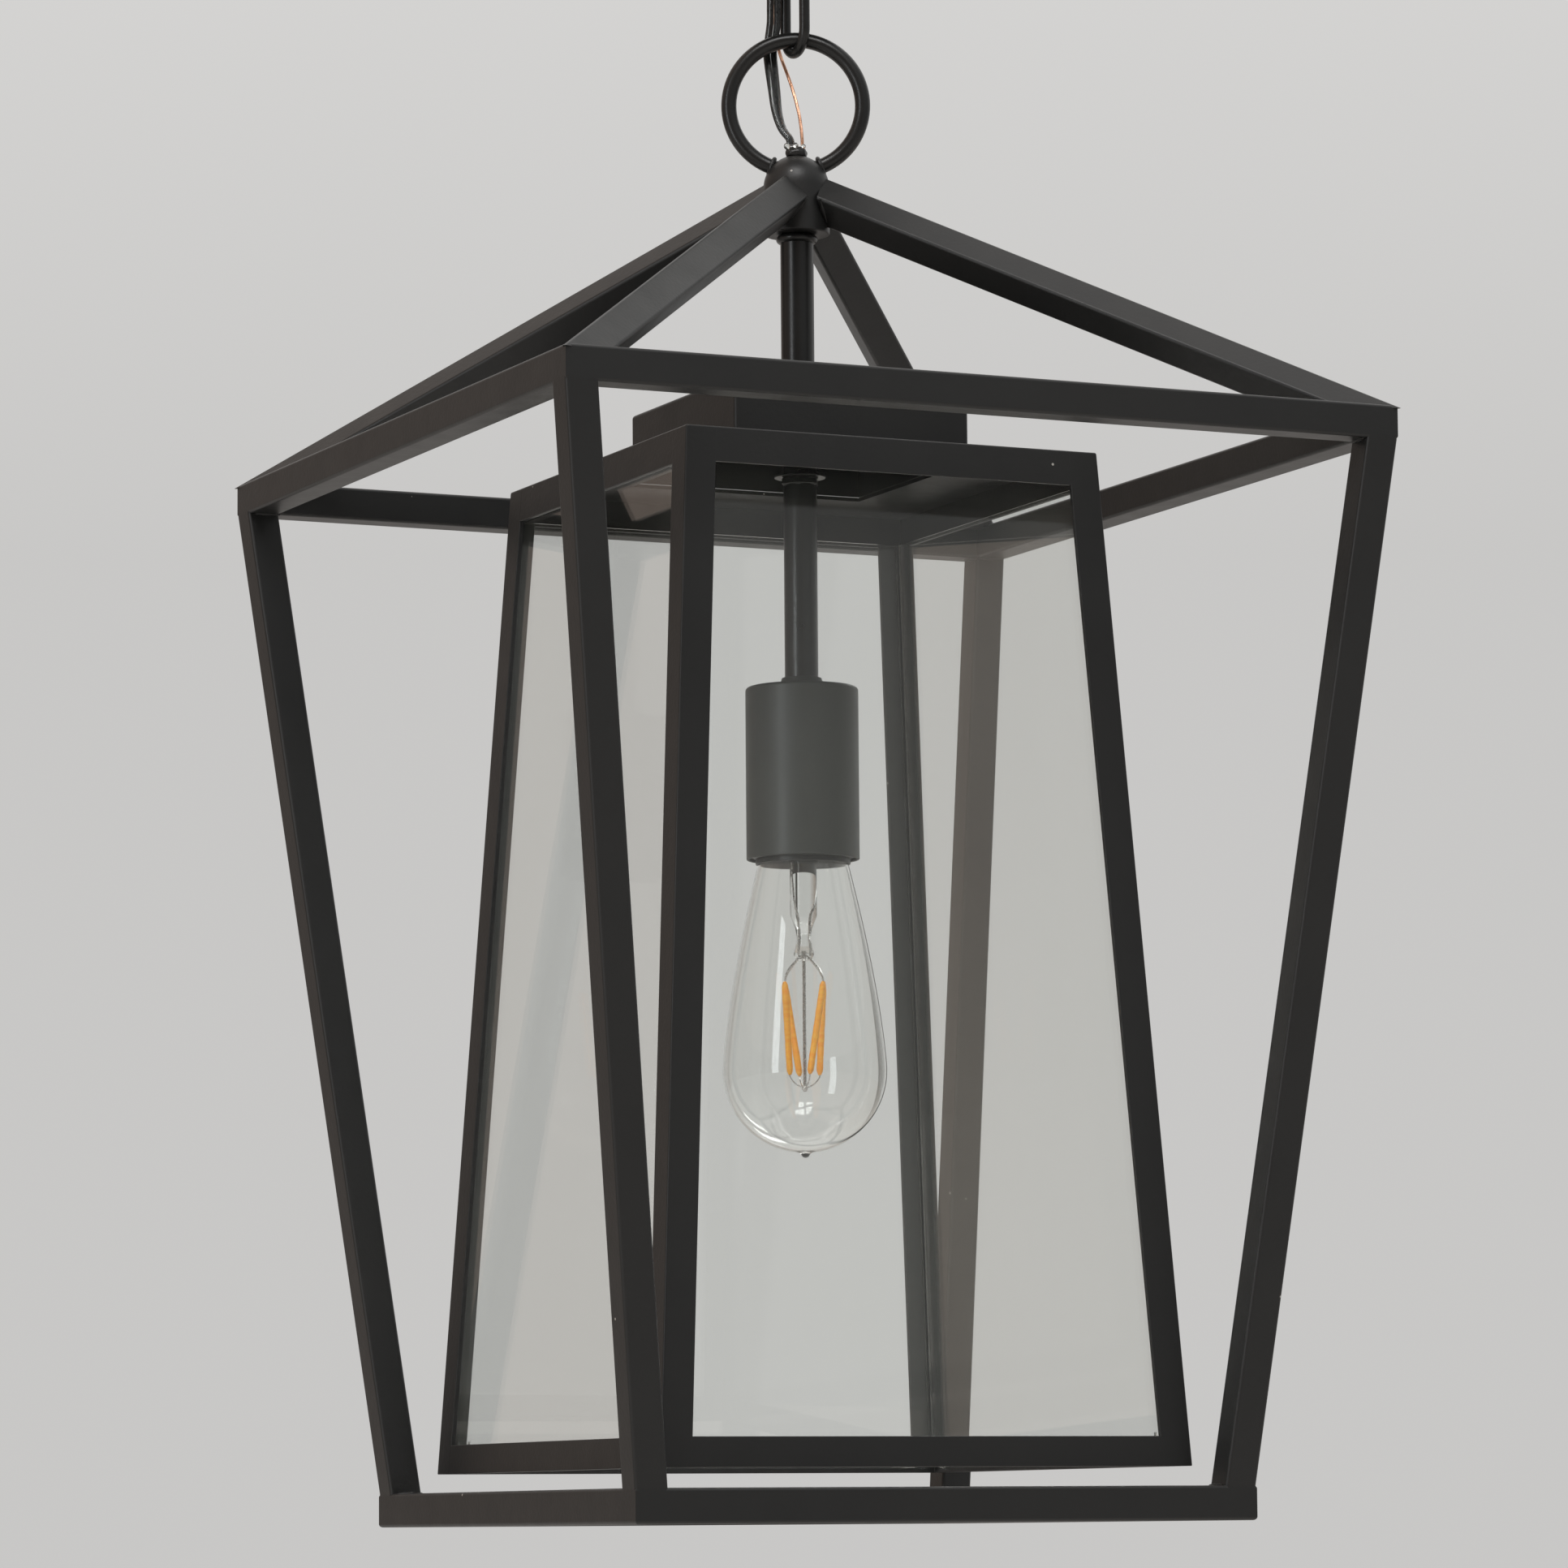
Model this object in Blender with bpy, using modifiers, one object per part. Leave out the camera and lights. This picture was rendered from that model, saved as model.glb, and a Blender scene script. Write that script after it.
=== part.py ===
"""A hanging lantern: an open square cage round a glazed lantern, on one chain link under a ceiling rose.

Metres, +Z up. The origin is on the ceiling, at the middle of the rose, and the lantern hangs below it.
The front is the -Y side. Sizes that can be set by themselves come first, and all places follow from them.
"""

import bmesh
import bpy
from math import asin, atan2, cos, hypot, pi, radians, sin, sqrt, tan
from mathutils import Vector

OBJECT_NAME = "hanging_lantern"
GAP = 0.0003

# The ceiling rose and the eye under it
ROSE_RADIUS = 0.048
ROSE_DEPTH = 0.028
ROSE_WALL = 0.0014
ROSE_EDGE = 0.006
STRAP_LENGTH = 0.082
STRAP_WIDTH = 0.018
STRAP_THICK = 0.002
STRAP_BOSS_RADIUS = 0.006
STRAP_BOSS_HEIGHT = 0.008
SCREW_HOLE_RADIUS = 0.0024
SCREW_HOLE_AT = 0.030
SHANK_RADIUS = 0.003
NUT_RADIUS = 0.0075
NUT_HEIGHT = 0.005
NUT_EDGE = 0.001
SHANK_SHOWING = 0.0045
EYE_RADIUS = 0.0095
EYE_WIRE = 0.005
CORD_GLAND_AT = Vector((-0.016, 0.020))
CORD_GLAND_RADIUS = 0.0075
GLAND_NECK_STEP = 0.0020
GLAND_FLANGE = 0.0020
GLAND_EDGE = 0.0008
GLAND_DEPTH = 0.004
TERMINAL_SIZE = Vector((0.022, 0.012, 0.010))
TERMINAL_AT = Vector((0.012, -0.020))
TERMINAL_BORE = 0.0018
TERMINAL_ABOVE_BOSS = 0.001

# The chain link and the ring
LINK_WIRE = 0.0042
LINK_INNER_LENGTH = 0.030
LINK_WIDTH = 0.022
RING_OUTER = 0.0585
RING_WIRE = 0.006
RING_AZIMUTH = radians(-25)
RING_SINK = 0.0065

# The hub, where the four roof bars and the stem meet
HUB_RADIUS = 0.0129
HUB_SIDE = 0.0191
COLLAR_LEDGE = 0.0016
COLLAR_HEIGHT = 0.0032
GROMMET_RADIUS = 0.0044
GROMMET_HEIGHT = 0.0034
GROMMET_NECK_STEP = 0.0012
GROMMET_NECK_DEPTH = 0.006
GROMMET_EDGE = 0.0010

# The outer cage, of square tube
TUBE = 0.013
TUBE_WALL = 0.0012
CAGE_TOP_SIDE = 0.340
CAGE_BOTTOM_SIDE = 0.2526
CAGE_HEIGHT = 0.417
ROOF_RISE = 0.1019
APEX_BELOW_DOME_BASE = 0.001

# The inner lantern, of folded strip, with a pane in each side
INNER_TOP_SIDE = 0.172
INNER_BOTTOM_SIDE = 0.2176
INNER_HEIGHT = 0.3863
INNER_TOP_BELOW_CAGE_TOP = 0.0103
FLANGE = 0.002
POST_FACE = 0.0125
TOP_RAIL_FACE = 0.0134
BOTTOM_RAIL_FACE = 0.0112
GLASS_THICK = 0.003
GLASS_LAP = 0.0008
CEILING_THICK = 0.0015
BOX_SIDE = 0.099
BOX_HEIGHT = 0.0269
BOX_WALL = 0.0012

# The stem, the lampholder and the lamp
STEM_RADIUS = 0.0065
STEM_WALL = 0.0013
STEM_NUT_LEDGE = 0.0025
STEM_NUT_HEIGHT = 0.0030
STEM_NUT_BELOW_CEILING = 0.0010
HOLDER_RADIUS = 0.0219
HOLDER_HEIGHT = 0.0671
HOLDER_WALL = 0.0012
HOLDER_TOP_BELOW_CEILING = 0.0846
HOLDER_EDGE = 0.0012
HOLDER_COLLAR_LEDGE = 0.00185
HOLDER_COLLAR_HEIGHT = 0.0034
HOLDER_COLLAR_EDGE = 0.0008
INSERT_LIP = 0.0019
INSERT_LIP_OVER_LAMP_NECK = 0.00045
INSERT_LIP_WALL = 0.0005
INSERT_LIP_SHOULDER = 0.001
INSERT_TOP = 0.045
INSERT_THROAT = 0.006
INSERT_THROAT_TAPER = 0.002
INSERT_WIRE_WAY = 0.002
SHELL_WALL = 0.0006
SHELL_HEIGHT = 0.026
CONTACT_RADIUS = 0.004
CONTACT_HEIGHT = 0.0012
CAP_RADIUS = 0.0132
CAP_CLEARANCE = 0.0008
CAP_WALL = 0.0005
CAP_HEIGHT = 0.0225
CAP_ABOVE_LIP = 0.0105
CAP_THREADS = 4
CAP_THREAD_DEPTH = 0.0008
CAP_SKIRT = 0.004
CAP_SHOULDER = 0.0045
CAP_INSULATOR_RADIUS = 0.0100
CAP_INSULATOR_DROP = 0.0030
CAP_TIP_RADIUS = 0.0045
CAP_TIP_EDGE = 0.0005
CAP_TIP_DROP = 0.0012
LAMP_RADIUS = 0.0317
LAMP_CONE = 0.0784
LAMP_CONE_EASE = 1.4
LAMP_NECK_RADIUS = 0.0179
LAMP_NECK_BELOW_LIP = 0.0012
LAMP_WALL = 0.0008
LAMP_NECK_STEP = 0.0008
LAMP_NECK_RISE = 0.003
LAMP_NECK_IN_CAP = 0.006
LAMP_STEM_RADIUS = 0.0052
LAMP_STEM_WAIST = 0.0036
LAMP_FLARE_INSET = 0.0035
LAMP_FLARE_IN_CAP = 0.004
LAMP_FLARE_LENGTH = 0.014
BUTTON_ABOVE_FILAMENTS = 0.010
BUTTON_HEIGHT = 0.003
BUTTON_NECK = 0.008
FILAMENT_RADIUS = 0.0012
LEAD_RADIUS = 0.0005
FILAMENT_TOP_SPREAD = 0.0105
FILAMENT_FOOT_SPREAD = 0.0060
FILAMENT_TOP_BELOW_NECK = 0.0447
FILAMENT_LENGTH = 0.0355
FILAMENT_TURNS = (20, 110, 200, 290)
FILAMENT_TWIST = -26
HOOK_RISE = 0.006
TIE_DROP = 0.005
TIE_BEND = 0.004
OVERRUN = 0.0005

# The cords: the flat mains flex and the bare earth wire, each in two lengths that meet beside the link
FLEX_RADIUS = 0.0028
EARTH_RADIUS = 0.00065
FLEX_STEP = 0.006
EARTH_STEP = 0.004

# What seats on the stem, and what the lamp goes into
COLLAR_RADIUS = STEM_RADIUS + COLLAR_LEDGE
STEM_NUT_RADIUS = STEM_RADIUS + STEM_NUT_LEDGE
HOLDER_COLLAR_RADIUS = STEM_RADIUS + HOLDER_COLLAR_LEDGE
SHELL_RADIUS = CAP_RADIUS + CAP_CLEARANCE + SHELL_WALL
INSERT_LIP_RADIUS = LAMP_NECK_RADIUS + INSERT_LIP_OVER_LAMP_NECK

# Heights, worked out from the ceiling down
ROSE_UNDERSIDE = -ROSE_DEPTH
EYE_TOP = ROSE_UNDERSIDE - GAP - NUT_HEIGHT - SHANK_SHOWING
EYE_CENTRE = EYE_TOP - EYE_RADIUS
EYE_FOOT = EYE_CENTRE - EYE_RADIUS
LINK_TOP = EYE_FOOT + (EYE_WIRE + LINK_WIRE) / 2 + GAP
LINK_FOOT = LINK_TOP - LINK_INNER_LENGTH - LINK_WIRE
RING_TOP = LINK_FOOT + (LINK_WIRE + RING_WIRE) / 2 + GAP
RING_RADIUS = (RING_OUTER - RING_WIRE) / 2
RING_CENTRE = RING_TOP - RING_RADIUS
DOME_TOP = RING_CENTRE - RING_RADIUS + RING_SINK
DOME_BASE = DOME_TOP - HUB_RADIUS
HUB_UNDERSIDE = DOME_BASE - HUB_SIDE
CAGE_TOP = DOME_BASE - APEX_BELOW_DOME_BASE - ROOF_RISE
CAGE_FOOT = CAGE_TOP - CAGE_HEIGHT
INNER_TOP = CAGE_TOP - INNER_TOP_BELOW_CAGE_TOP
INNER_FOOT = INNER_TOP - INNER_HEIGHT
CEILING_UNDERSIDE = INNER_TOP - CEILING_THICK
BOX_FOOT = INNER_TOP + GAP
BOX_TOP = BOX_FOOT + BOX_HEIGHT
HOLDER_TOP = INNER_TOP - HOLDER_TOP_BELOW_CEILING
HOLDER_FOOT = HOLDER_TOP - HOLDER_HEIGHT
INSERT_FOOT = HOLDER_FOOT - INSERT_LIP
LAMP_NECK = INSERT_FOOT - LAMP_NECK_BELOW_LIP
LAMP_WAIST = LAMP_NECK - LAMP_CONE
CAP_FOOT = INSERT_FOOT + CAP_ABOVE_LIP
CAP_TOP = CAP_FOOT + CAP_HEIGHT

# The joints' own points, where the empties stand
LINK_PIVOT = Vector((0, 0, EYE_FOOT))
LANTERN_PIVOT = Vector((0, 0, LINK_FOOT))
LAMP_PIVOT = Vector((0, 0, CAP_FOOT))

for old in list(bpy.data.objects):
    bpy.data.objects.remove(old, do_unlink=True)

scene = bpy.context.scene
parts = bpy.data.collections.new(OBJECT_NAME)
cutters = bpy.data.collections.new("cutters")
cutters.hide_render = True
scene.collection.children.link(parts)
scene.collection.children.link(cutters)


def make_body(name, pivot):
    """An empty on a joint's axis, which carries the pieces that move with it."""
    empty = bpy.data.objects.new(name, None)
    empty.location = pivot
    empty.empty_display_size = 0.02
    parts.objects.link(empty)
    return empty


ROOT = make_body("ceiling_body", Vector((0, 0, 0)))
LINK = make_body("link_body", LINK_PIVOT)
LANTERN = make_body("lantern_body", LANTERN_PIVOT)
LAMP = make_body("lamp_body", LAMP_PIVOT)


def make_material(name, colour, roughness, metallic=0.0, transmission=0.0):
    material = bpy.data.materials.new(name)
    material.use_nodes = True
    shader = material.node_tree.nodes["Principled BSDF"]
    shader.inputs["Base Color"].default_value = (*colour, 1)
    shader.inputs["Roughness"].default_value = roughness
    shader.inputs["Metallic"].default_value = metallic
    shader.inputs["Transmission Weight"].default_value = transmission
    material.diffuse_color = (*colour, 1)
    return material


BLACK = ((0.012, 0.013, 0.014), 0.42)
ZINC = ((0.55, 0.55, 0.53), 0.35, 1.0)
BRASS = ((0.70, 0.50, 0.22), 0.30, 1.0)
COPPER = ((0.72, 0.34, 0.18), 0.30, 1.0)
GREY_SLEEVE = ((0.050, 0.055, 0.052), 0.60)
WHITE_PLASTIC = ((0.80, 0.79, 0.75), 0.35)
BLACK_PLASTIC = ((0.015, 0.015, 0.015), 0.50)
CLEAR_GLASS = ((0.92, 0.97, 0.95), 0.02, 0.0, 1.0)
AMBER = ((0.90, 0.42, 0.04), 0.55)
CLEAR_FLEX = ((0.42, 0.43, 0.42), 0.35)


def add(name, mesh, body, look, place=Vector((0, 0, 0)), turn=0.0):
    """Adds a mesh as a piece of a body, with a material of its own. place is in the object's frame."""
    piece = bpy.data.objects.new(name, mesh)
    parts.objects.link(piece)
    piece.parent = body
    piece.location = Vector(place) - body.location
    piece.rotation_euler.z = turn
    # A slot linked to the object lets copies share one mesh and still differ in material.
    if not mesh.materials:
        mesh.materials.append(None)
    piece.material_slots[0].link = "OBJECT"
    piece.material_slots[0].material = make_material(name, *look)
    return piece


def mesh_of(name, bm):
    bmesh.ops.recalc_face_normals(bm, faces=bm.faces)
    mesh = bpy.data.meshes.new(name)
    bm.to_mesh(mesh)
    bm.free()
    return mesh


def smooth(mesh, angle=radians(35)):
    mesh.shade_smooth()
    mesh.set_sharp_from_angle(angle=angle)


def converted(temporary):
    """The evaluated mesh of a curve or a modified mesh, welded, in world places. The original is removed."""
    parts.objects.link(temporary)
    bpy.context.view_layer.update()
    graph = bpy.context.evaluated_depsgraph_get()
    mesh = bpy.data.meshes.new_from_object(temporary.evaluated_get(graph))
    mesh.transform(temporary.matrix_world)
    bpy.data.objects.remove(temporary, do_unlink=True)
    bm = bmesh.new()
    bm.from_mesh(mesh)
    bmesh.ops.remove_doubles(bm, verts=bm.verts, dist=0.000001)
    bmesh.ops.recalc_face_normals(bm, faces=bm.faces)
    bm.to_mesh(mesh)
    bm.free()
    mesh.materials.clear()
    return mesh


def wire_mesh(name, points, radius, closed=False, sides=2):
    """A round wire through the points."""
    curve = bpy.data.curves.new(name, "CURVE")
    curve.dimensions = "3D"
    curve.bevel_depth = radius
    curve.bevel_resolution = sides
    curve.use_fill_caps = not closed
    spline = curve.splines.new("POLY")
    spline.points.add(len(points) - 1)
    for spot, point in zip(spline.points, points):
        spot.co = (*point, 1)
    spline.use_cyclic_u = closed
    mesh = converted(bpy.data.objects.new(name, curve))
    smooth(mesh)
    return mesh


def prism_mesh(name, outlines, place):
    """A flat outline given a thickness, each corner then moved by place(a, b, far)."""
    curve = bpy.data.curves.new(name, "CURVE")
    curve.dimensions = "2D"
    curve.fill_mode = "BOTH"
    curve.extrude = 0.5
    for outline in outlines:
        spline = curve.splines.new("POLY")
        spline.points.add(len(outline) - 1)
        for spot, (a, b) in zip(spline.points, outline):
            spot.co = (a, b, 0, 1)
        spline.use_cyclic_u = True
    mesh = converted(bpy.data.objects.new(name, curve))
    bm = bmesh.new()
    bm.from_mesh(mesh)
    for vertex in bm.verts:
        vertex.co = place(vertex.co.x, vertex.co.y, vertex.co.z > 0)
    return mesh_of(name, bm)


def turned_mesh(name, profile, steps=32, closed=True):
    """A turned piece. The profile runs down its outer side; an open one starts and ends on the axis."""
    mesh = bpy.data.meshes.new(name)
    edges = [(i, i + 1) for i in range(len(profile) - 1)]
    if closed:
        edges.append((len(profile) - 1, 0))
    mesh.from_pydata([(x, 0, z) for x, z in profile], edges, [])
    temporary = bpy.data.objects.new(name, mesh)
    screw = temporary.modifiers.new("Turn", "SCREW")
    screw.steps = screw.render_steps = steps
    screw.use_merge_vertices = True
    screw.merge_threshold = 0.00001
    turned = converted(temporary)
    smooth(turned)
    return turned


def arc(x, z, radius, start, end, steps):
    """Points on an arc round (x, z); angles in degrees from +X towards +Z."""
    angles = [radians(start + (end - start) * i / steps) for i in range(steps + 1)]
    return [(x + radius * cos(angle), z + radius * sin(angle)) for angle in angles]


def tube_profile(outer, inner, low, high):
    return [(inner, high), (outer, high), (outer, low), (inner, low)]


def square_tube_mesh(name, start, end, across, upward, start_normal, end_normal):
    """A square tube, open at both ends, whose ends lie in the planes through start and end."""
    bm = bmesh.new()
    bmesh.ops.create_cube(bm, size=1)
    bmesh.ops.scale(bm, vec=(TUBE, TUBE, 1), verts=bm.verts)
    caps = [face for face in bm.faces if abs(face.normal.z) > 0.5]
    bmesh.ops.inset_individual(bm, faces=caps, thickness=TUBE_WALL)
    bmesh.ops.delete(bm, geom=caps, context="FACES_ONLY")
    rims = [edge for edge in bm.edges if edge.is_boundary]
    bmesh.ops.bridge_loops(bm, edges=rims)
    axis = (end - start).normalized()
    for vertex in bm.verts:
        corner, normal = (end, end_normal) if vertex.co.z > 0 else (start, start_normal)
        point = corner + across * vertex.co.x + upward * vertex.co.y
        vertex.co = point + axis * ((corner - point).dot(normal) / axis.dot(normal))
    return mesh_of(name, bm)


def solid_cylinder(name, radius, low, high, place=Vector((0, 0)), sides=24):
    bm = bmesh.new()
    bmesh.ops.create_cone(
        bm, cap_ends=True, segments=sides, radius1=radius, radius2=radius, depth=high - low
    )
    bmesh.ops.translate(bm, vec=(place.x, place.y, (low + high) / 2), verts=bm.verts)
    return mesh_of(name, bm)


def cut(piece, name, mesh, operation="DIFFERENCE"):
    """Cuts a mesh in world places out of a piece, or joins it on, with a hidden cutter."""
    cutter = bpy.data.objects.new(name, mesh)
    cutter.hide_render = True
    cutter.display_type = "WIRE"
    cutters.objects.link(cutter)
    boolean = piece.modifiers.new(name, "BOOLEAN")
    boolean.operation = operation
    boolean.solver = "EXACT"
    boolean.object = cutter


X, Y, Z = Vector((1, 0, 0)), Vector((0, 1, 0)), Vector((0, 0, 1))


# ---- The pieces at the ceiling ----


def ceiling_rose():
    inner = ROSE_RADIUS - ROSE_WALL
    outside = arc(ROSE_RADIUS - ROSE_EDGE, ROSE_UNDERSIDE + ROSE_EDGE, ROSE_EDGE, 0, -90, 6)
    inside = arc(ROSE_RADIUS - ROSE_EDGE, ROSE_UNDERSIDE + ROSE_EDGE, ROSE_EDGE - ROSE_WALL, -90, 0, 4)
    hole = SHANK_RADIUS + GAP
    profile = [(inner, 0), (ROSE_RADIUS, 0), *outside, (hole, ROSE_UNDERSIDE)]
    profile += [(hole, ROSE_UNDERSIDE + ROSE_WALL), *inside]
    rose = add("ceiling_rose", turned_mesh("ceiling_rose", profile, 40), ROOT, BLACK)
    bore = solid_cylinder(
        "gland_hole", CORD_GLAND_RADIUS - GLAND_NECK_STEP, ROSE_UNDERSIDE - ROSE_WALL,
        ROSE_UNDERSIDE + 2 * ROSE_WALL, CORD_GLAND_AT,
    )
    cut(rose, "gland_hole", bore)


def mounting_strap():
    """The bar that the ceiling screws hold, with the boss that the eye's shank goes up into."""
    half = STRAP_LENGTH / 2
    end = STRAP_WIDTH / 2
    outline = arc(half - end, 0, end, -90, 90, 8) + arc(end - half, 0, end, 90, 270, 8)
    mesh = prism_mesh(
        "mounting_strap", [outline], lambda a, b, far: Vector((a, b, 0 if far else -STRAP_THICK))
    )
    strap = add("mounting_strap", mesh, ROOT, ZINC)
    boss = solid_cylinder(
        "strap_boss", STRAP_BOSS_RADIUS, -STRAP_THICK - STRAP_BOSS_HEIGHT, -STRAP_THICK / 2
    )
    cut(strap, "strap_boss", boss, "UNION")
    bore = solid_cylinder(
        "boss_bore", SHANK_RADIUS + GAP, -2 * STRAP_THICK - STRAP_BOSS_HEIGHT, -STRAP_THICK
    )
    cut(strap, "boss_bore", bore)
    for side in (-1, 1):
        hole = solid_cylinder(
            f"strap_hole_{side}", SCREW_HOLE_RADIUS, -2 * STRAP_THICK, STRAP_THICK,
            Vector((side * SCREW_HOLE_AT, 0)),
        )
        cut(strap, f"strap_hole_{side}", hole)


def canopy_loop():
    """A round eye on a threaded shank. The chain link hangs in the eye."""
    steps = 28
    turns = [2 * pi * i / steps for i in range(steps)]
    eye = [(EYE_RADIUS * sin(t), 0, EYE_CENTRE + EYE_RADIUS * cos(t)) for t in turns]
    loop = add("canopy_loop", wire_mesh("canopy_loop", eye, EYE_WIRE / 2, True), ROOT, BLACK)
    shank_top = -STRAP_THICK - GAP
    cut(loop, "loop_shank", solid_cylinder("loop_shank", SHANK_RADIUS, EYE_TOP, shank_top), "UNION")


def loop_nut():
    """The round nut that holds the rose up against the ceiling."""
    high = ROSE_UNDERSIDE - GAP
    low = high - NUT_HEIGHT
    profile = [
        (SHANK_RADIUS + GAP, high), (NUT_RADIUS, high), (NUT_RADIUS, low + NUT_EDGE),
        (NUT_RADIUS - NUT_EDGE, low), (SHANK_RADIUS + GAP, low),
    ]
    add("loop_nut", turned_mesh("loop_nut", profile, 24), ROOT, BLACK)


def rose_grommet():
    """The bush in the rose's floor, where the flex and the earth wire go in."""
    rim = CORD_GLAND_RADIUS
    neck = rim - GLAND_NECK_STEP - GAP
    under = ROSE_UNDERSIDE - GAP
    foot = under - GLAND_FLANGE
    profile = [
        (0, ROSE_UNDERSIDE + GLAND_DEPTH), (neck, ROSE_UNDERSIDE + GLAND_DEPTH), (neck, under),
        (rim, under), (rim, foot + GLAND_EDGE), (rim - GLAND_EDGE, foot), (0, foot),
    ]
    place = (CORD_GLAND_AT.x, CORD_GLAND_AT.y, 0)
    mesh = turned_mesh("rose_grommet", profile, 24, closed=False)
    add("rose_grommet", mesh, ROOT, BLACK_PLASTIC, place)


def terminal_block():
    """The connector inside the rose, with three wire ways through it."""
    bm = bmesh.new()
    bmesh.ops.create_cube(bm, size=1)
    bmesh.ops.scale(bm, vec=TERMINAL_SIZE, verts=bm.verts)
    top = -STRAP_THICK - STRAP_BOSS_HEIGHT - TERMINAL_ABOVE_BOSS
    middle = Vector((*TERMINAL_AT, top - TERMINAL_SIZE.z / 2))
    block = add("terminal_block", mesh_of("terminal_block", bm), ROOT, WHITE_PLASTIC, middle)
    for way in (-1, 0, 1):
        name = f"wire_way_{way + 2}"
        bm = bmesh.new()
        bmesh.ops.create_cone(
            bm, cap_ends=True, segments=12, radius1=TERMINAL_BORE, radius2=TERMINAL_BORE,
            depth=2 * TERMINAL_SIZE.y,
        )
        for vertex in bm.verts:
            x, y, z = vertex.co
            vertex.co = middle + Vector((x + way * TERMINAL_SIZE.x / 3, z, y))
        cut(block, name, mesh_of(name, bm))


# ---- The link, the ring and the hub ----


def chain_link():
    """A long link in the plane of Y and Z."""
    bend = (LINK_WIDTH - LINK_WIRE) / 2
    top = arc(0, LINK_TOP - bend, bend, 0, 180, 12)
    foot = arc(0, LINK_FOOT + bend, bend, 180, 360, 12)
    points = [(0, y, z) for y, z in top + foot]
    add("chain_link", wire_mesh("chain_link", points, LINK_WIRE / 2, True, 3), LINK, BLACK)


def dome_mesh(name, extra=0.0):
    """The hub's outer shape, a cylinder under a half ball, grown by extra."""
    radius = HUB_RADIUS + extra
    profile = [*arc(0, DOME_BASE, radius, 90, 0, 8), (radius, HUB_UNDERSIDE - extra)]
    profile[0] = (0, DOME_BASE + radius)
    return turned_mesh(name, [*profile, (0, HUB_UNDERSIDE - extra)], 32, closed=False)


def suspension_ring():
    """The ring at the top. Its wire ends on the two sides of the hub's dome."""
    steps = 44
    turns = [2 * pi * i / steps for i in range(steps)]
    points = [
        (
            RING_RADIUS * sin(t) * cos(RING_AZIMUTH),
            RING_RADIUS * sin(t) * sin(RING_AZIMUTH),
            RING_CENTRE + RING_RADIUS * cos(t),
        )
        for t in turns
    ]
    mesh = wire_mesh("suspension_ring", points, RING_WIRE / 2, True, 3)
    ring = add("suspension_ring", mesh, LANTERN, BLACK)
    cut(ring, "dome_room", dome_mesh("dome_room", GAP))


def hub():
    piece = add("hub", dome_mesh("hub"), LANTERN, BLACK)
    bore = solid_cylinder("hub_bore", STEM_RADIUS - STEM_WALL, HUB_UNDERSIDE - HUB_RADIUS, DOME_BASE)
    cut(piece, "hub_bore", bore)
    passage = solid_cylinder(
        "hub_passage", GROMMET_RADIUS - GROMMET_NECK_STEP, DOME_BASE - HUB_RADIUS, DOME_TOP + HUB_RADIUS
    )
    cut(piece, "hub_passage", passage)


def hub_grommet():
    """The bush on top of the dome, where the cords come out."""
    neck = GROMMET_RADIUS - GROMMET_NECK_STEP - GAP
    foot = DOME_TOP + GAP
    top = DOME_TOP + GROMMET_HEIGHT
    end = foot - GROMMET_NECK_DEPTH
    profile = [
        (0, top), (GROMMET_RADIUS - GROMMET_EDGE, top), (GROMMET_RADIUS, top - GROMMET_EDGE),
        (GROMMET_RADIUS, foot), (neck, foot), (neck, end), (0, end),
    ]
    mesh = turned_mesh("hub_grommet", profile, 24, closed=False)
    add("hub_grommet", mesh, LANTERN, BLACK_PLASTIC)


def hub_collar():
    """The bead round the stem, just under the hub."""
    middle = HUB_UNDERSIDE - GAP - COLLAR_HEIGHT / 2
    bore = STEM_RADIUS + GAP
    swell = COLLAR_HEIGHT / 2
    flat = (COLLAR_RADIUS - bore) / swell
    profile = [(bore + x * flat, middle + z) for x, z in arc(0, 0, swell, 90, -90, 8)]
    add("hub_collar", turned_mesh("hub_collar", profile, 24), LANTERN, BLACK)


# ---- The outer cage ----


def ring_rail_mesh(name, side, foot):
    """One side of a square ring of tube, mitred at both ends."""
    reach = (side - TUBE) / 2
    z = foot + TUBE / 2
    left, right = Vector((1, -1, 0)).normalized(), Vector((1, 1, 0)).normalized()
    start = Vector((-reach, -reach, z)) + left * GAP / 2
    end = Vector((reach, -reach, z)) - right * GAP / 2
    # The tube's line stays on the rail's own middle, so only its length gives room at the mitre.
    start, end = start - Y * start.y - Y * reach, end - Y * end.y - Y * reach
    return square_tube_mesh(name, start, end, Y, Z, left, right)


def post_mesh(name):
    """The post at the front left corner, its edge in line with the corners of both rings."""
    low_reach = -(CAGE_BOTTOM_SIDE - TUBE) / 2
    high_reach = -(CAGE_TOP_SIDE - TUBE) / 2
    start = Vector((low_reach, low_reach, CAGE_FOOT + TUBE + GAP))
    end = Vector((high_reach, high_reach, CAGE_TOP - TUBE - GAP))
    return square_tube_mesh(name, start, end, X, Y, Z, Z)


def roof_bar_mesh(name):
    """A roof bar along +X, edge up, from the hub to a corner of the top ring."""
    half_diagonal = TUBE / sqrt(2)
    corner = CAGE_TOP_SIDE / sqrt(2)
    slope = atan2(ROOF_RISE, corner) + asin(half_diagonal / hypot(corner, ROOF_RISE))
    apex = CAGE_TOP + ROOF_RISE

    def on_line(z=None, x=None):
        x = (apex - z) / tan(slope) if x is None else x
        return Vector((x, 0, apex - x * tan(slope)))

    start, end = on_line(x=HUB_RADIUS + GAP), on_line(z=CAGE_TOP + GAP)
    above = (end - start).normalized().cross(Y)
    return square_tube_mesh(
        name, start, end, (Y + above).normalized(), (Y - above).normalized(), X, Z
    )


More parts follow.
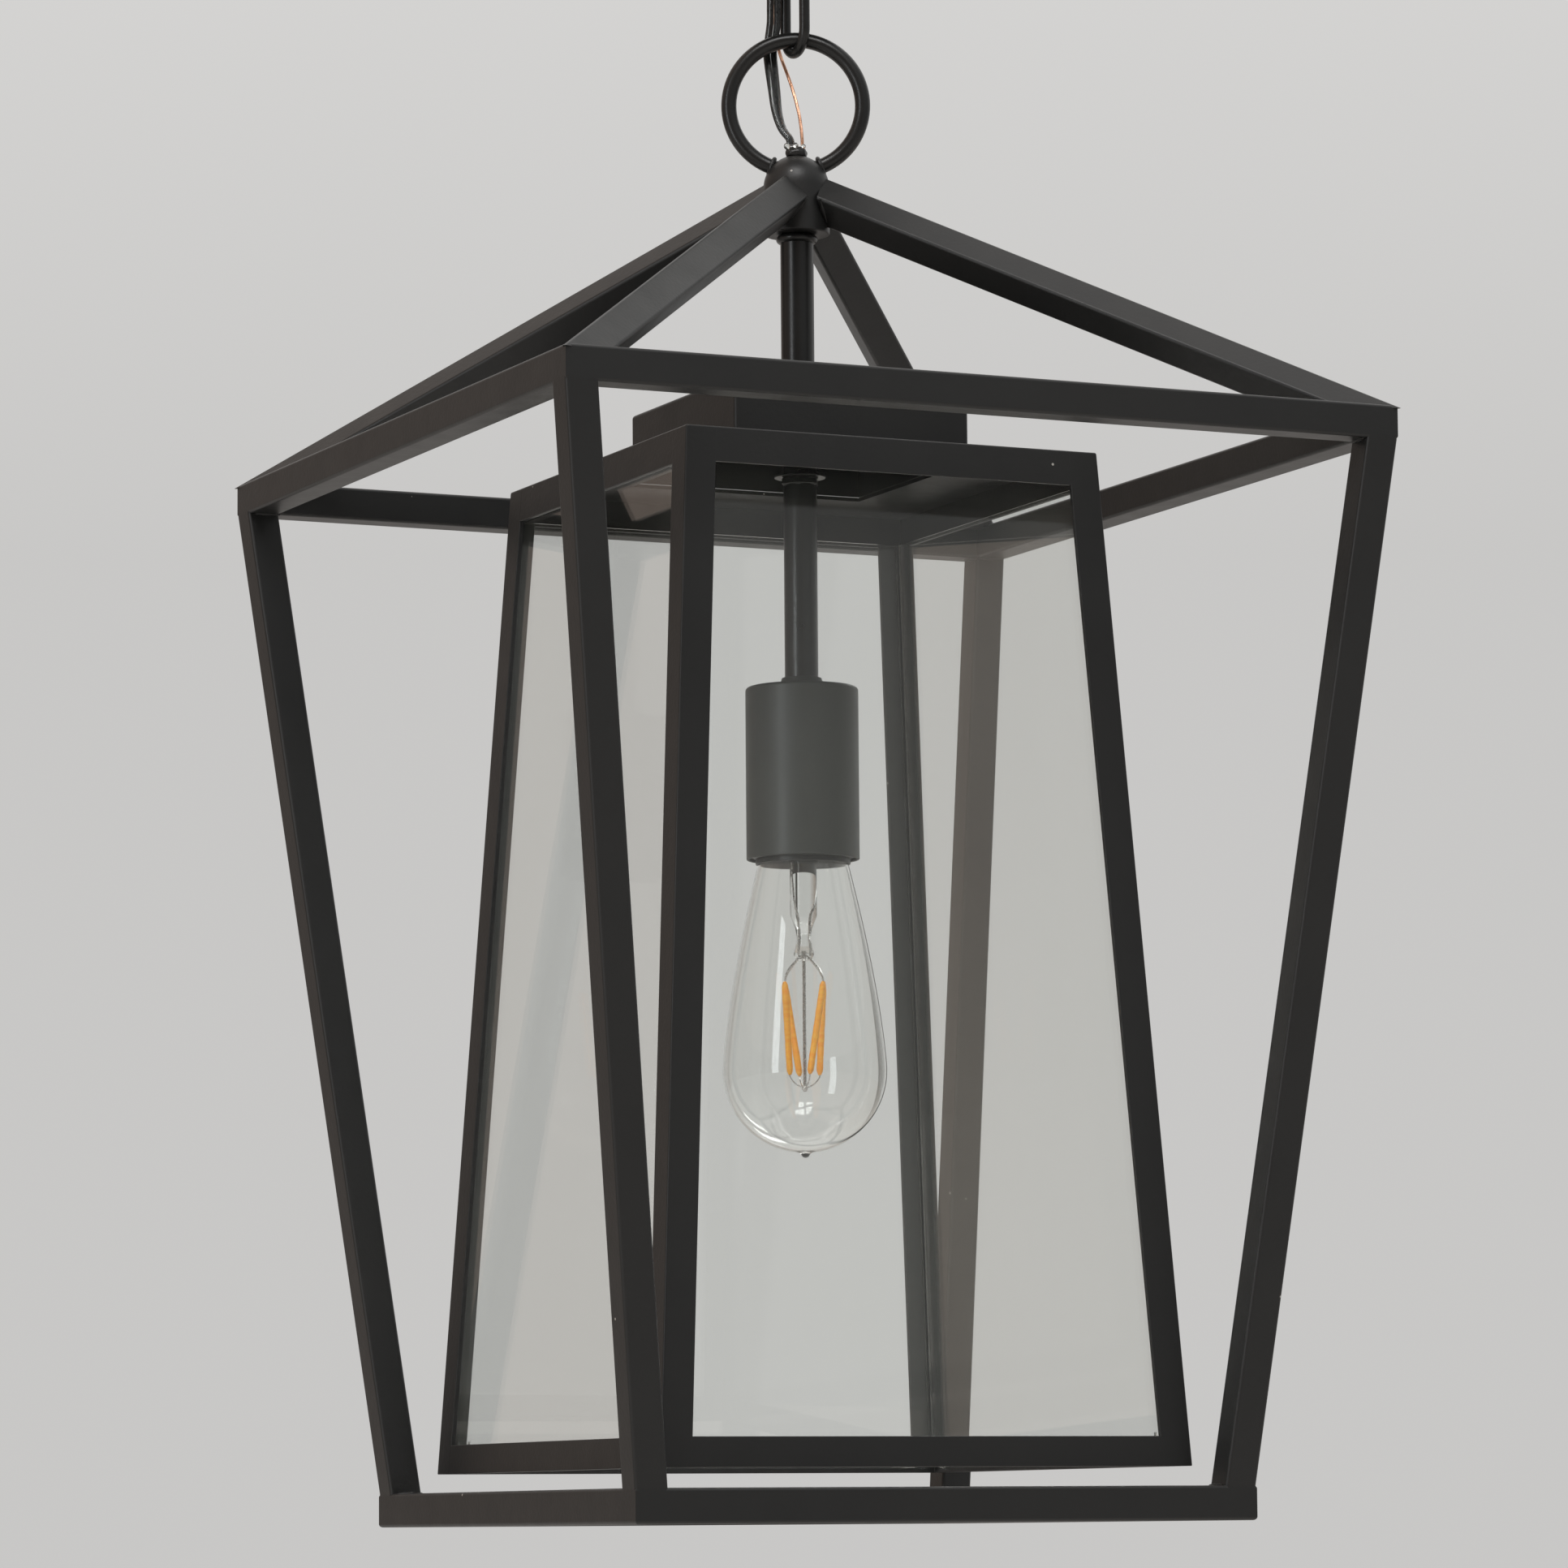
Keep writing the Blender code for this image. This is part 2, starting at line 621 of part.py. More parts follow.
def outer_cage():
    top = ring_rail_mesh("top_rail", CAGE_TOP_SIDE, CAGE_TOP - TUBE)
    bottom = ring_rail_mesh("bottom_rail", CAGE_BOTTOM_SIDE, CAGE_FOOT)
    post = post_mesh("post")
    bar = roof_bar_mesh("roof_bar")
    for i in range(4):
        turn = i * pi / 2
        add(f"top_rail_{i + 1}", top, LANTERN, BLACK, turn=turn)
        add(f"bottom_rail_{i + 1}", bottom, LANTERN, BLACK, turn=turn)
        add(f"post_{i + 1}", post, LANTERN, BLACK, turn=turn)
        add(f"roof_bar_{i + 1}", bar, LANTERN, BLACK, turn=turn - 3 * pi / 4)


# ---- The inner lantern ----


def inner_reach(z):
    """Half the inner lantern's width at a height."""
    spread = (INNER_BOTTOM_SIDE - INNER_TOP_SIDE) / 2
    return INNER_TOP_SIDE / 2 + spread * (INNER_TOP - z) / INNER_HEIGHT


def side_strip_mesh(name, outline, inset):
    """A piece of the front side. The outline is (depth behind the face, height); its ends lie inset."""

    def place(depth, z, far):
        reach = inner_reach(z)
        return Vector(((reach - inset) * (1 if far else -1), depth - reach, z))

    return prism_mesh(name, [outline], place)


def strip(near, far, low, high):
    return [(near, low), (far, low), (far, high), (near, high)]


def inner_post_mesh(name):
    """The angle at the front left corner."""
    outline = [
        (0, 0), (POST_FACE, 0), (POST_FACE, FLANGE), (FLANGE, FLANGE), (FLANGE, POST_FACE), (0, POST_FACE),
    ]

    def place(a, b, far):
        z = INNER_TOP if far else INNER_FOOT
        return Vector((a - inner_reach(z), b - inner_reach(z), z))

    return prism_mesh(name, [outline], place)


def inner_frame():
    rail_inset = POST_FACE + GAP
    top = side_strip_mesh(
        "inner_top_rail", strip(0, FLANGE, INNER_TOP - TOP_RAIL_FACE, INNER_TOP), rail_inset
    )
    shelf = FLANGE + GAP + GLASS_THICK
    rail_top = INNER_FOOT + BOTTOM_RAIL_FACE
    angle = [
        (0, INNER_FOOT), (shelf, INNER_FOOT), (shelf, INNER_FOOT + FLANGE),
        (FLANGE, INNER_FOOT + FLANGE), (FLANGE, rail_top), (0, rail_top),
    ]
    bottom = side_strip_mesh("inner_bottom_rail", angle, rail_inset)
    glass_near = FLANGE + GAP
    glass_top = INNER_TOP - TOP_RAIL_FACE + GLASS_LAP
    pane = strip(glass_near, glass_near + GLASS_THICK, INNER_FOOT + FLANGE + GAP, glass_top)
    glass = side_strip_mesh("glass", pane, glass_near + GLASS_THICK + GAP)
    post = inner_post_mesh("inner_post")
    for i in range(4):
        turn = i * pi / 2
        add(f"inner_top_rail_{i + 1}", top, LANTERN, BLACK, turn=turn)
        add(f"inner_bottom_rail_{i + 1}", bottom, LANTERN, BLACK, turn=turn)
        add(f"inner_post_{i + 1}", post, LANTERN, BLACK, turn=turn)
        add(f"glass_{i + 1}", glass, LANTERN, CLEAR_GLASS, turn=turn)


def square(half):
    return [(-half, -half), (half, -half), (half, half), (-half, half)]


def ceiling_plate():
    """The inner lantern's top, with the opening up into the canopy box."""
    outer = inner_reach(INNER_TOP) - FLANGE - GAP
    opening = BOX_SIDE / 2 - BOX_WALL
    mesh = prism_mesh(
        "ceiling_plate", [square(outer), square(opening)[::-1]],
        lambda a, b, far: Vector((a, b, INNER_TOP if far else CEILING_UNDERSIDE)),
    )
    add("ceiling_plate", mesh, LANTERN, BLACK)


def canopy_box():
    """The box on the ceiling plate, open below."""
    bm = bmesh.new()
    bmesh.ops.create_cube(bm, size=1)
    bmesh.ops.scale(bm, vec=(BOX_SIDE, BOX_SIDE, BOX_HEIGHT), verts=bm.verts)
    bmesh.ops.translate(bm, vec=(0, 0, BOX_FOOT + BOX_HEIGHT / 2), verts=bm.verts)
    bottom = [face for face in bm.faces if face.normal.z < -0.5]
    bmesh.ops.delete(bm, geom=bottom, context="FACES_ONLY")
    mesh = bpy.data.meshes.new("canopy_box")
    bm.to_mesh(mesh)
    bm.free()
    box = add("canopy_box", mesh, LANTERN, BLACK)
    wall = box.modifiers.new("Wall", "SOLIDIFY")
    wall.thickness = BOX_WALL
    wall.offset = -1
    wall.use_even_offset = True
    hole = solid_cylinder(
        "box_hole", STEM_RADIUS - STEM_WALL, BOX_TOP - 2 * BOX_WALL, BOX_TOP + BOX_WALL
    )
    cut(box, "box_hole", hole)


# ---- The stem, the lampholder and the lamp ----


def stem():
    bore = STEM_RADIUS - STEM_WALL
    upper = tube_profile(STEM_RADIUS, bore, BOX_TOP + GAP, HUB_UNDERSIDE - GAP)
    add("stem_upper", turned_mesh("stem_upper", upper, 24), LANTERN, BLACK)
    lower = tube_profile(STEM_RADIUS, bore, HOLDER_TOP + GAP, BOX_TOP - BOX_WALL - GAP)
    add("stem_lower", turned_mesh("stem_lower", lower, 24), LANTERN, BLACK)


def box_nut():
    """The six-sided nut on the stem, just inside the lantern."""
    high = CEILING_UNDERSIDE - STEM_NUT_BELOW_CEILING
    nut = add(
        "box_nut",
        solid_cylinder("box_nut", STEM_NUT_RADIUS, high - STEM_NUT_HEIGHT, high, sides=6),
        LANTERN, BLACK,
    )
    bore = solid_cylinder("nut_bore", STEM_RADIUS + GAP, high - 2 * STEM_NUT_HEIGHT, high + STEM_NUT_HEIGHT)
    cut(nut, "nut_bore", bore)


def holder_collar():
    low = HOLDER_TOP + GAP
    high = low + HOLDER_COLLAR_HEIGHT
    bore = STEM_RADIUS + GAP
    edge = HOLDER_COLLAR_RADIUS - HOLDER_COLLAR_EDGE
    profile = [
        (bore, high), (edge, high), (HOLDER_COLLAR_RADIUS, high - HOLDER_COLLAR_EDGE),
        (HOLDER_COLLAR_RADIUS, low), (bore, low),
    ]
    add("holder_collar", turned_mesh("holder_collar", profile, 24), LANTERN, BLACK)


def lampholder():
    """The sleeve over the lamp socket, open below."""
    bore = STEM_RADIUS - STEM_WALL
    inner = HOLDER_RADIUS - HOLDER_WALL
    shoulder = arc(HOLDER_RADIUS - HOLDER_EDGE, HOLDER_TOP - HOLDER_EDGE, HOLDER_EDGE, 90, 0, 4)
    profile = [
        (bore, HOLDER_TOP), *shoulder, (HOLDER_RADIUS, HOLDER_FOOT), (inner, HOLDER_FOOT),
        (inner, HOLDER_TOP - HOLDER_WALL), (bore, HOLDER_TOP - HOLDER_WALL),
    ]
    add("lampholder", turned_mesh("lampholder", profile, 40), LANTERN, GREY_SLEEVE)


def socket_insert():
    """The ceramic body inside the sleeve. Its thin lip shows below the sleeve."""
    body = HOLDER_RADIUS - HOLDER_WALL - GAP
    bore = SHELL_RADIUS + GAP
    lip_bore = INSERT_LIP_RADIUS - INSERT_LIP_WALL
    top = HOLDER_FOOT + INSERT_TOP
    throat = HOLDER_FOOT + INSERT_THROAT
    shoulder = HOLDER_FOOT + INSERT_LIP_SHOULDER
    shell_top = CAP_FOOT + SHELL_HEIGHT
    profile = [
        (INSERT_WIRE_WAY, top), (body, top), (body, shoulder),
        (INSERT_LIP_RADIUS, shoulder), (INSERT_LIP_RADIUS, INSERT_FOOT),
        (lip_bore, INSERT_FOOT), (lip_bore, throat), (bore, throat + INSERT_THROAT_TAPER),
        (bore, shell_top + GAP), (INSERT_WIRE_WAY, shell_top + GAP),
    ]
    add("socket_insert", turned_mesh("socket_insert", profile, 32), LANTERN, BLACK_PLASTIC)


def socket_shell():
    """The threaded shell that the lamp screws into."""
    profile = tube_profile(SHELL_RADIUS, SHELL_RADIUS - SHELL_WALL, CAP_FOOT, CAP_FOOT + SHELL_HEIGHT)
    add("socket_shell", turned_mesh("socket_shell", profile, 32), LANTERN, BRASS)


def socket_contact():
    """The spring contact above the lamp's tip."""
    top = CAP_FOOT + SHELL_HEIGHT
    mesh = solid_cylinder("socket_contact", CONTACT_RADIUS, top - CONTACT_HEIGHT, top)
    add("socket_contact", mesh, LANTERN, BRASS)


def bulb_cap():
    """The screw cap: a threaded shell with the contact on its top."""
    crest, root = CAP_RADIUS, CAP_RADIUS - CAP_THREAD_DEPTH
    inner = root - CAP_WALL
    skirt = CAP_FOOT + CAP_SKIRT
    shoulder = CAP_TOP - CAP_SHOULDER
    pitch = (shoulder - skirt) / CAP_THREADS
    thread = []
    for turn in range(CAP_THREADS):
        top = shoulder - turn * pitch
        thread += [(root, top), (crest, top - pitch / 2)]
    ceiling = shoulder - 2 * CAP_WALL
    profile = [
        (0, CAP_TOP), (CAP_TIP_RADIUS, CAP_TOP), (CAP_TIP_RADIUS + CAP_TIP_EDGE, CAP_TOP - CAP_TIP_DROP),
        (CAP_INSULATOR_RADIUS, CAP_TOP - CAP_INSULATOR_DROP), *thread, (root, skirt), (root, CAP_FOOT),
        (inner, CAP_FOOT), (inner, ceiling), (0, ceiling),
    ]
    mesh = turned_mesh("bulb_cap", profile, 32, closed=False)
    add("bulb_cap", mesh, LAMP, BRASS)


def lamp_radius(z):
    """The lamp's radius at a height: a half ball below the waist, a long smooth cone above it."""
    if z <= LAMP_WAIST:
        depth = min(LAMP_WAIST - z, LAMP_RADIUS)
        return sqrt(LAMP_RADIUS**2 - depth**2)
    t = min((z - LAMP_WAIST) / LAMP_CONE, 1)
    return LAMP_RADIUS - (LAMP_RADIUS - LAMP_NECK_RADIUS) * t**LAMP_CONE_EASE


def bulb_glass():
    """A thin shell, open at the neck, which stands in the cap."""
    neck = CAP_RADIUS - CAP_THREAD_DEPTH - CAP_WALL - GAP
    cone = 12
    outer = [
        (neck, CAP_FOOT + LAMP_NECK_IN_CAP), (neck, CAP_FOOT - GAP),
        (LAMP_NECK_RADIUS - LAMP_NECK_STEP, LAMP_NECK + LAMP_NECK_RISE),
    ]
    heights = [LAMP_NECK - LAMP_CONE * i / cone for i in range(cone + 1)]
    outer += [(lamp_radius(z), z) for z in heights]
    outer += arc(0, LAMP_WAIST, LAMP_RADIUS, 0, -90, 12)[1:-1]
    foot = LAMP_WAIST - LAMP_RADIUS
    inner = [(x - LAMP_WALL, z) for x, z in outer if z > LAMP_WAIST]
    inner += arc(0, LAMP_WAIST, LAMP_RADIUS - LAMP_WALL, 0, -90, 12)[:-1]
    profile = [(0, foot + LAMP_WALL), *inner[::-1], *outer, (0, foot)]
    mesh = turned_mesh("bulb_glass", profile, 32, closed=False)
    add("bulb_glass", mesh, LAMP, CLEAR_GLASS)


def bulb_filaments():
    """The glass stem with its lead wires and four filaments, joined as one piece."""
    top = LAMP_NECK - FILAMENT_TOP_BELOW_NECK
    foot = top - FILAMENT_LENGTH
    button = top + BUTTON_ABOVE_FILAMENTS
    flare = CAP_FOOT + LAMP_FLARE_IN_CAP
    stem_profile = [
        (0, flare), (CAP_RADIUS - LAMP_FLARE_INSET, flare), (LAMP_STEM_RADIUS, flare - LAMP_FLARE_LENGTH),
        (LAMP_STEM_WAIST, button + BUTTON_NECK), (LAMP_STEM_RADIUS, button + BUTTON_HEIGHT),
        (LAMP_STEM_RADIUS, button), (0, button),
    ]
    mesh = turned_mesh("bulb_filaments", stem_profile, 20, closed=False)
    piece = add("bulb_filaments", mesh, LAMP, AMBER)
    spine_foot = foot - TIE_DROP - 2 * LEAD_RADIUS
    spine = solid_cylinder("lamp_spine", 2 * LEAD_RADIUS, spine_foot, button + BUTTON_HEIGHT / 2, sides=8)
    cut(piece, "lamp_spine", spine, "UNION")
    for i, angle in enumerate(FILAMENT_TURNS):
        way = Vector((cos(radians(angle)), sin(radians(angle)), 0))
        heel_turn = radians(angle + FILAMENT_TWIST)
        heel_way = Vector((cos(heel_turn), sin(heel_turn), 0))
        head = way * FILAMENT_TOP_SPREAD + Z * top
        heel = heel_way * FILAMENT_FOOT_SPREAD + Z * foot
        lead = [Z * (button + 2 * LEAD_RADIUS), way * FILAMENT_TOP_SPREAD / 2 + Z * (top + HOOK_RISE), head]
        tie = [heel, heel_way * FILAMENT_FOOT_SPREAD / 2 + Z * (foot - TIE_BEND), Z * (foot - TIE_DROP)]
        mesh = wire_mesh(f"lead_{i}", lead, LEAD_RADIUS)
        cut(piece, f"lead_{i}", mesh, "UNION")
        mesh = wire_mesh(f"tie_{i}", tie, LEAD_RADIUS)
        cut(piece, f"tie_{i}", mesh, "UNION")
        reach = (head - heel).normalized() * OVERRUN
        mesh = wire_mesh(f"filament_{i}", [head + reach, heel - reach], FILAMENT_RADIUS)
        cut(piece, f"filament_{i}", mesh, "UNION")


# ---- The cords ----

# Points beside the ring, in metres: along the ring, in front of it, and down from the ceiling.
FLEX_LOWER_ROUTE = [
    (-0.0022, 0.0000, -0.1228), (-0.0024, 0.0000, -0.1205), (-0.0054, -0.0010, -0.1160),
    (-0.0074, -0.0024, -0.1090), (-0.0084, -0.0042, -0.1000), (-0.0094, -0.0058, -0.0910),
    (-0.0099, -0.0068, -0.0845), (-0.0092, -0.0066, -0.0785), (-0.0084, -0.0060, -0.0725),
    (-0.0083, -0.0054, -0.0660), (-0.0083, -0.0054, -0.0616),
]
FLEX_UPPER_ROUTE = [
    (-0.0083, -0.0054, -0.0611), (-0.0083, -0.0054, -0.0575), (-0.0106, -0.0070, -0.0500),
    (-0.0140, -0.0088, -0.0430), (-0.0190, -0.0104, -0.0370), (-0.0238, -0.0113, -0.0334),
    (-0.0240, -0.0114, -0.0308),
]
EARTH_LOWER_ROUTE = [
    (0.0024, -0.0004, -0.1228), (0.0024, -0.0004, -0.1200), (0.0016, -0.0018, -0.1120),
    (0.0002, -0.0034, -0.1050), (-0.0016, -0.0056, -0.0980), (-0.0036, -0.0084, -0.0915),
    (-0.0054, -0.0108, -0.0860), (-0.0069, -0.0118, -0.0800), (-0.0078, -0.0114, -0.0730),
    (-0.0082, -0.0102, -0.0660), (-0.0082, -0.0102, -0.0616),
]
EARTH_UPPER_ROUTE = [
    (-0.0082, -0.0102, -0.0611), (-0.0082, -0.0102, -0.0575), (-0.0102, -0.0128, -0.0500),
    (-0.0128, -0.0148, -0.0430), (-0.0160, -0.0158, -0.0370), (-0.0190, -0.0150, -0.0334),
    (-0.0192, -0.0148, -0.0308),
]


def beside_ring(along, front, z):
    """A point from its distances along the ring's plane and in front of it."""
    ring_way = Vector((cos(RING_AZIMUTH), sin(RING_AZIMUTH), 0))
    front_way = Vector((sin(RING_AZIMUTH), -cos(RING_AZIMUTH), 0))
    return ring_way * along + front_way * front + Z * z


def smooth_route(route, step):
    """Points at about the step along a smooth curve through the route."""
    ends = [2 * route[0] - route[1], *route, 2 * route[-1] - route[-2]]
    points = []
    for before, here, there, after in zip(ends, ends[1:], ends[2:], ends[3:]):
        count = max(1, round((there - here).length / step))
        for i in range(count):
            t = i / count
            a = 2 * here
            b = (there - before) * t
            c = (2 * before - 5 * here + 4 * there - after) * t * t
            d = (3 * here - 3 * there + after - before) * t * t * t
            points.append((a + b + c + d) / 2)
    return [*points, route[-1]]


def cords():
    table = (
        ("flex_lower", FLEX_LOWER_ROUTE, FLEX_RADIUS, FLEX_STEP, LANTERN, CLEAR_FLEX),
        ("flex_upper", FLEX_UPPER_ROUTE, FLEX_RADIUS, FLEX_STEP, LINK, CLEAR_FLEX),
        ("earth_lower", EARTH_LOWER_ROUTE, EARTH_RADIUS, EARTH_STEP, LANTERN, COPPER),
        ("earth_upper", EARTH_UPPER_ROUTE, EARTH_RADIUS, EARTH_STEP, LINK, COPPER),
    )
    for name, route, radius, step, body, look in table:
        points = smooth_route([beside_ring(*point) for point in route], step)
        add(name, wire_mesh(name, points, radius), body, look)


for make in (
    ceiling_rose, mounting_strap, canopy_loop, loop_nut, rose_grommet, terminal_block,
    chain_link, suspension_ring, hub, hub_grommet, hub_collar, outer_cage,
    inner_frame, ceiling_plate, canopy_box, stem, box_nut, holder_collar,
    lampholder, socket_insert, socket_shell, socket_contact, bulb_cap, bulb_glass, bulb_filaments, cords,
):
    make()
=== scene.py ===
"""The looks of the hanging lantern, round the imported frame: its coats, glass, welds, lamp and cords.

Metres, in the frame's own axes: +Z up, the ceiling at z = 0, the front on the -Y side.
"""
import random
from math import asin, atan2, cos, hypot, pi, radians, sin, sqrt, tan

import bmesh
import bpy
from mathutils import Matrix, Vector, noise


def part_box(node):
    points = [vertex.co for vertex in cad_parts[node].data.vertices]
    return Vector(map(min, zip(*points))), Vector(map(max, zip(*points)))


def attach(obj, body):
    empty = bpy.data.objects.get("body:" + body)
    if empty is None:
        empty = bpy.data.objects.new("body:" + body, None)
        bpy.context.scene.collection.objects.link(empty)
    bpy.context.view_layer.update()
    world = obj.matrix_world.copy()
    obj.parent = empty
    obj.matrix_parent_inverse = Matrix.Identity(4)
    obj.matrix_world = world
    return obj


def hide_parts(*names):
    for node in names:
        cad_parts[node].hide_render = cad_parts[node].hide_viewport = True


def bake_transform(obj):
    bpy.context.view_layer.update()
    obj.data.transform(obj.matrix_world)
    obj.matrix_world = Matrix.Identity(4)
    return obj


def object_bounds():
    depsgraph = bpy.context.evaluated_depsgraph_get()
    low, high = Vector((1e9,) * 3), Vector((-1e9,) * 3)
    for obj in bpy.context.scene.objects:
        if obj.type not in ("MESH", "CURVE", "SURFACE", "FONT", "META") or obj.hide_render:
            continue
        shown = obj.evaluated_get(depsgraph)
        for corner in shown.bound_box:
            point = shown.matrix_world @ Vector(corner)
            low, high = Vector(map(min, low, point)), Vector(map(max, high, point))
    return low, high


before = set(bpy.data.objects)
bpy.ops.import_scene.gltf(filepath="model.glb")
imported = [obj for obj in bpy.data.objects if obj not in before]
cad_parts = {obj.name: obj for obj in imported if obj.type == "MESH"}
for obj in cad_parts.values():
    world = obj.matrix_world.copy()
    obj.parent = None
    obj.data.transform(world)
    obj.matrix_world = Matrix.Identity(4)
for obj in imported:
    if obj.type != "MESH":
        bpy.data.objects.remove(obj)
cad_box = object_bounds()

X, Y, Z = Vector((1, 0, 0)), Vector((0, 1, 0)), Vector((0, 0, 1))
QUARTER = pi / 2
SIDES = range(4)

# ---- Sizes read from the frame ----

top_rail_low, top_rail_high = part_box("top_rail_1")
TUBE = top_rail_high.z - top_rail_low.z
CAGE_TOP = top_rail_high.z
CAGE_TOP_REACH = -top_rail_low.y
CAGE_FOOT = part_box("bottom_rail_1")[0].z
CAGE_FOOT_REACH = -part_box("bottom_rail_1")[0].y

hub_low, hub_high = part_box("hub")
HUB_RADIUS = hub_high.x
DOME_TOP = hub_high.z
DOME_BASE = DOME_TOP - HUB_RADIUS
HUB_UNDERSIDE = hub_low.z

post_low, post_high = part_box("inner_post_1")
INNER_TOP, INNER_FOOT = post_high.z, post_low.z
INNER_HEIGHT = INNER_TOP - INNER_FOOT
INNER_FOOT_REACH = -post_low.x
inner_rail_low, inner_rail_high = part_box("inner_top_rail_1")
TOP_RAIL_FACE = inner_rail_high.z - inner_rail_low.z
RAIL_SHARE = TOP_RAIL_FACE / INNER_HEIGHT
INNER_TOP_REACH = (-inner_rail_low.y - INNER_FOOT_REACH * RAIL_SHARE) / (1 - RAIL_SHARE)
INNER_LEAN = (INNER_FOOT_REACH - INNER_TOP_REACH) / INNER_HEIGHT
FLANGE = inner_rail_high.y + INNER_TOP_REACH
POST_FACE = post_high.x + INNER_TOP_REACH
BOTTOM_RAIL_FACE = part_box("inner_bottom_rail_1")[1].z - INNER_FOOT
glass_low, glass_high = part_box("glass_1")
GAP = 0.0003
GLASS_THICK = 0.003
GLASS_NEAR = FLANGE + GAP
box_low, box_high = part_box("canopy_box")

STEM_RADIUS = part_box("stem_lower")[1].x
holder_low, holder_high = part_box("lampholder")
INSERT_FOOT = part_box("socket_insert")[0].z
lamp_low, lamp_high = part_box("bulb_glass")
LAMP_RADIUS = lamp_high.x
cap_low, cap_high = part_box("bulb_cap")

RING_WIRE = 0.006
RING_AZIMUTH = radians(-25)
ring_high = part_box("suspension_ring")[1]
RING_RADIUS = (ring_high.x - RING_WIRE / 2) / cos(RING_AZIMUTH)
RING_CENTRE = ring_high.z - RING_RADIUS - RING_WIRE / 2
link_low, link_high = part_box("chain_link")
LINK_WIRE = 2 * link_high.x
eye_low, eye_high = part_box("canopy_loop")
EYE_WIRE = 0.005
EYE_RADIUS = eye_high.x - EYE_WIRE / 2
rose_low, rose_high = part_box("ceiling_rose")

# ---- Sizes of what the frame leaves plain ----

TUBE_EDGE = 0.0013
STRIP_EDGE = 0.0008
SHEET = 0.0012
FINE_EDGE = 0.00035
EDGE_STEPS = 4
TUCK = 0.0012
NEAR_FLUSH = 0.00003
NEAR_TIGHT = 0.0002
STEM_WALL = 0.0013

# ---- Camera, light and floor ----

CAMERA_PLACE = Vector((-1.0480, -2.2510, -0.6637))
CAMERA_AZIMUTH = radians(-24.811)
CAMERA_TILT = radians(6.638)
CAMERA_ROLL = radians(-0.453)
CAMERA_LENS = 148.2
MIDDLE = Vector((0, 0, -0.42))
FLOOR_DROP = 1.35
FLOOR_RADIUS = 16
FLOOR_COLOUR = (0.72, 0.71, 0.69)
SKY_HEIGHTS = (0.15, 0.9)
SKY_STRENGTHS = (0.58, 1.25)
ROOM_DEPTHS = (-0.5, 0.3)
ROOM_IN_FRONT = 0.52
BRICK_WAYS = (-0.30, 0.12)
BRICK_BROWN = (0.53, 0.43, 0.37)
PALE_SKY = (1.0, 0.99, 0.975)


def make_camera():
    """The viewpoint: a little below the lantern's middle and to its left, looking slightly up."""
    camera = bpy.data.objects.new("camera", bpy.data.cameras.new("camera"))
    camera.data.lens = CAMERA_LENS
    camera.data.sensor_width = 36
    camera.data.clip_end = 100
    heading = Matrix.Rotation(CAMERA_AZIMUTH, 4, "Z") @ Matrix.Rotation(pi / 2 + CAMERA_TILT, 4, "X")
    roll = Matrix.Rotation(CAMERA_ROLL, 4, "Z")
    camera.matrix_world = Matrix.Translation(CAMERA_PLACE) @ heading @ roll
    bpy.context.scene.collection.objects.link(camera)
    bpy.context.scene.camera = camera


def area_light(name, place, size, power, colour=(1, 1, 1), mirrored=True):
    """A soft panel that faces the lantern. One that isn't mirrored leaves no white patch on the panes."""
    light = bpy.data.objects.new(name, bpy.data.lights.new(name, "AREA"))
    light.data.shape = "RECTANGLE"
    light.data.size, light.data.size_y = size
    light.data.energy = power
    light.data.color = colour
    light.location = place
    light.rotation_euler = (MIDDLE - Vector(place)).to_track_quat("-Z", "Y").to_euler()
    light.visible_camera = False
    light.visible_glossy = mirrored
    bpy.context.scene.collection.objects.link(light)


def make_light():
    """Soft panels, none of them where a pane would mirror it at the viewpoint, and a pale sky that is brick
    brown on the left and dimmer in front."""
    area_light("top_key", (-0.9, -1.7, 2.1), (1.6, 1.2), 44)
    area_light("left_edge", (-2.6, -1.1, 0.1), (0.5, 1.8), 13, (0.93, 0.97, 1.0))
    area_light("back_rim", (2.0, 1.6, 1.3), (1.2, 1.0), 24, mirrored=False)
    world = bpy.data.worlds.new("studio")
    world.use_nodes = True
    tree = world.node_tree
    way = node(tree, "ShaderNodeTexCoord").outputs["Generated"]
    parts = node(tree, "ShaderNodeSeparateXYZ", {"Vector": way}).outputs
    sky = spread(tree, parts["Z"], *SKY_HEIGHTS, *SKY_STRENGTHS)
    room = spread(tree, parts["Y"], *ROOM_DEPTHS, ROOM_IN_FRONT, 1.0)
    tree.links.new(times(tree, sky, room), tree.nodes["Background"].inputs["Strength"])
    colour = mixed(tree, spread(tree, parts["X"], *BRICK_WAYS), BRICK_BROWN, PALE_SKY)
    tree.links.new(colour, tree.nodes["Background"].inputs["Color"])
    bpy.context.scene.world = world
    bpy.context.scene.view_settings.view_transform = "Standard"


def make_floor():
    """A wide pale floor below the hanging lantern."""
    bm = bmesh.new()
    bmesh.ops.create_circle(bm, cap_ends=True, segments=96, radius=FLOOR_RADIUS)
    bmesh.ops.translate(bm, vec=(0, 0, cad_box[0][2] - FLOOR_DROP), verts=bm.verts)
    floor = placed("floor", mesh_from(bm, "floor"))
    shader = new_material("pale_floor")[1]
    shader.inputs["Base Color"].default_value = (*FLOOR_COLOUR, 1)
    shader.inputs["Roughness"].default_value = 0.8
    coat(floor, "pale_floor")


# ---- Material tools ----

finishes = {}


def new_material(name):
    """Starts a finish. The frame's materials have the same names, so finishes are kept apart from them."""
    material = finishes[name] = bpy.data.materials.new(f"{name}_finish")
    material.use_nodes = True
    return material.node_tree, material.node_tree.nodes["Principled BSDF"]


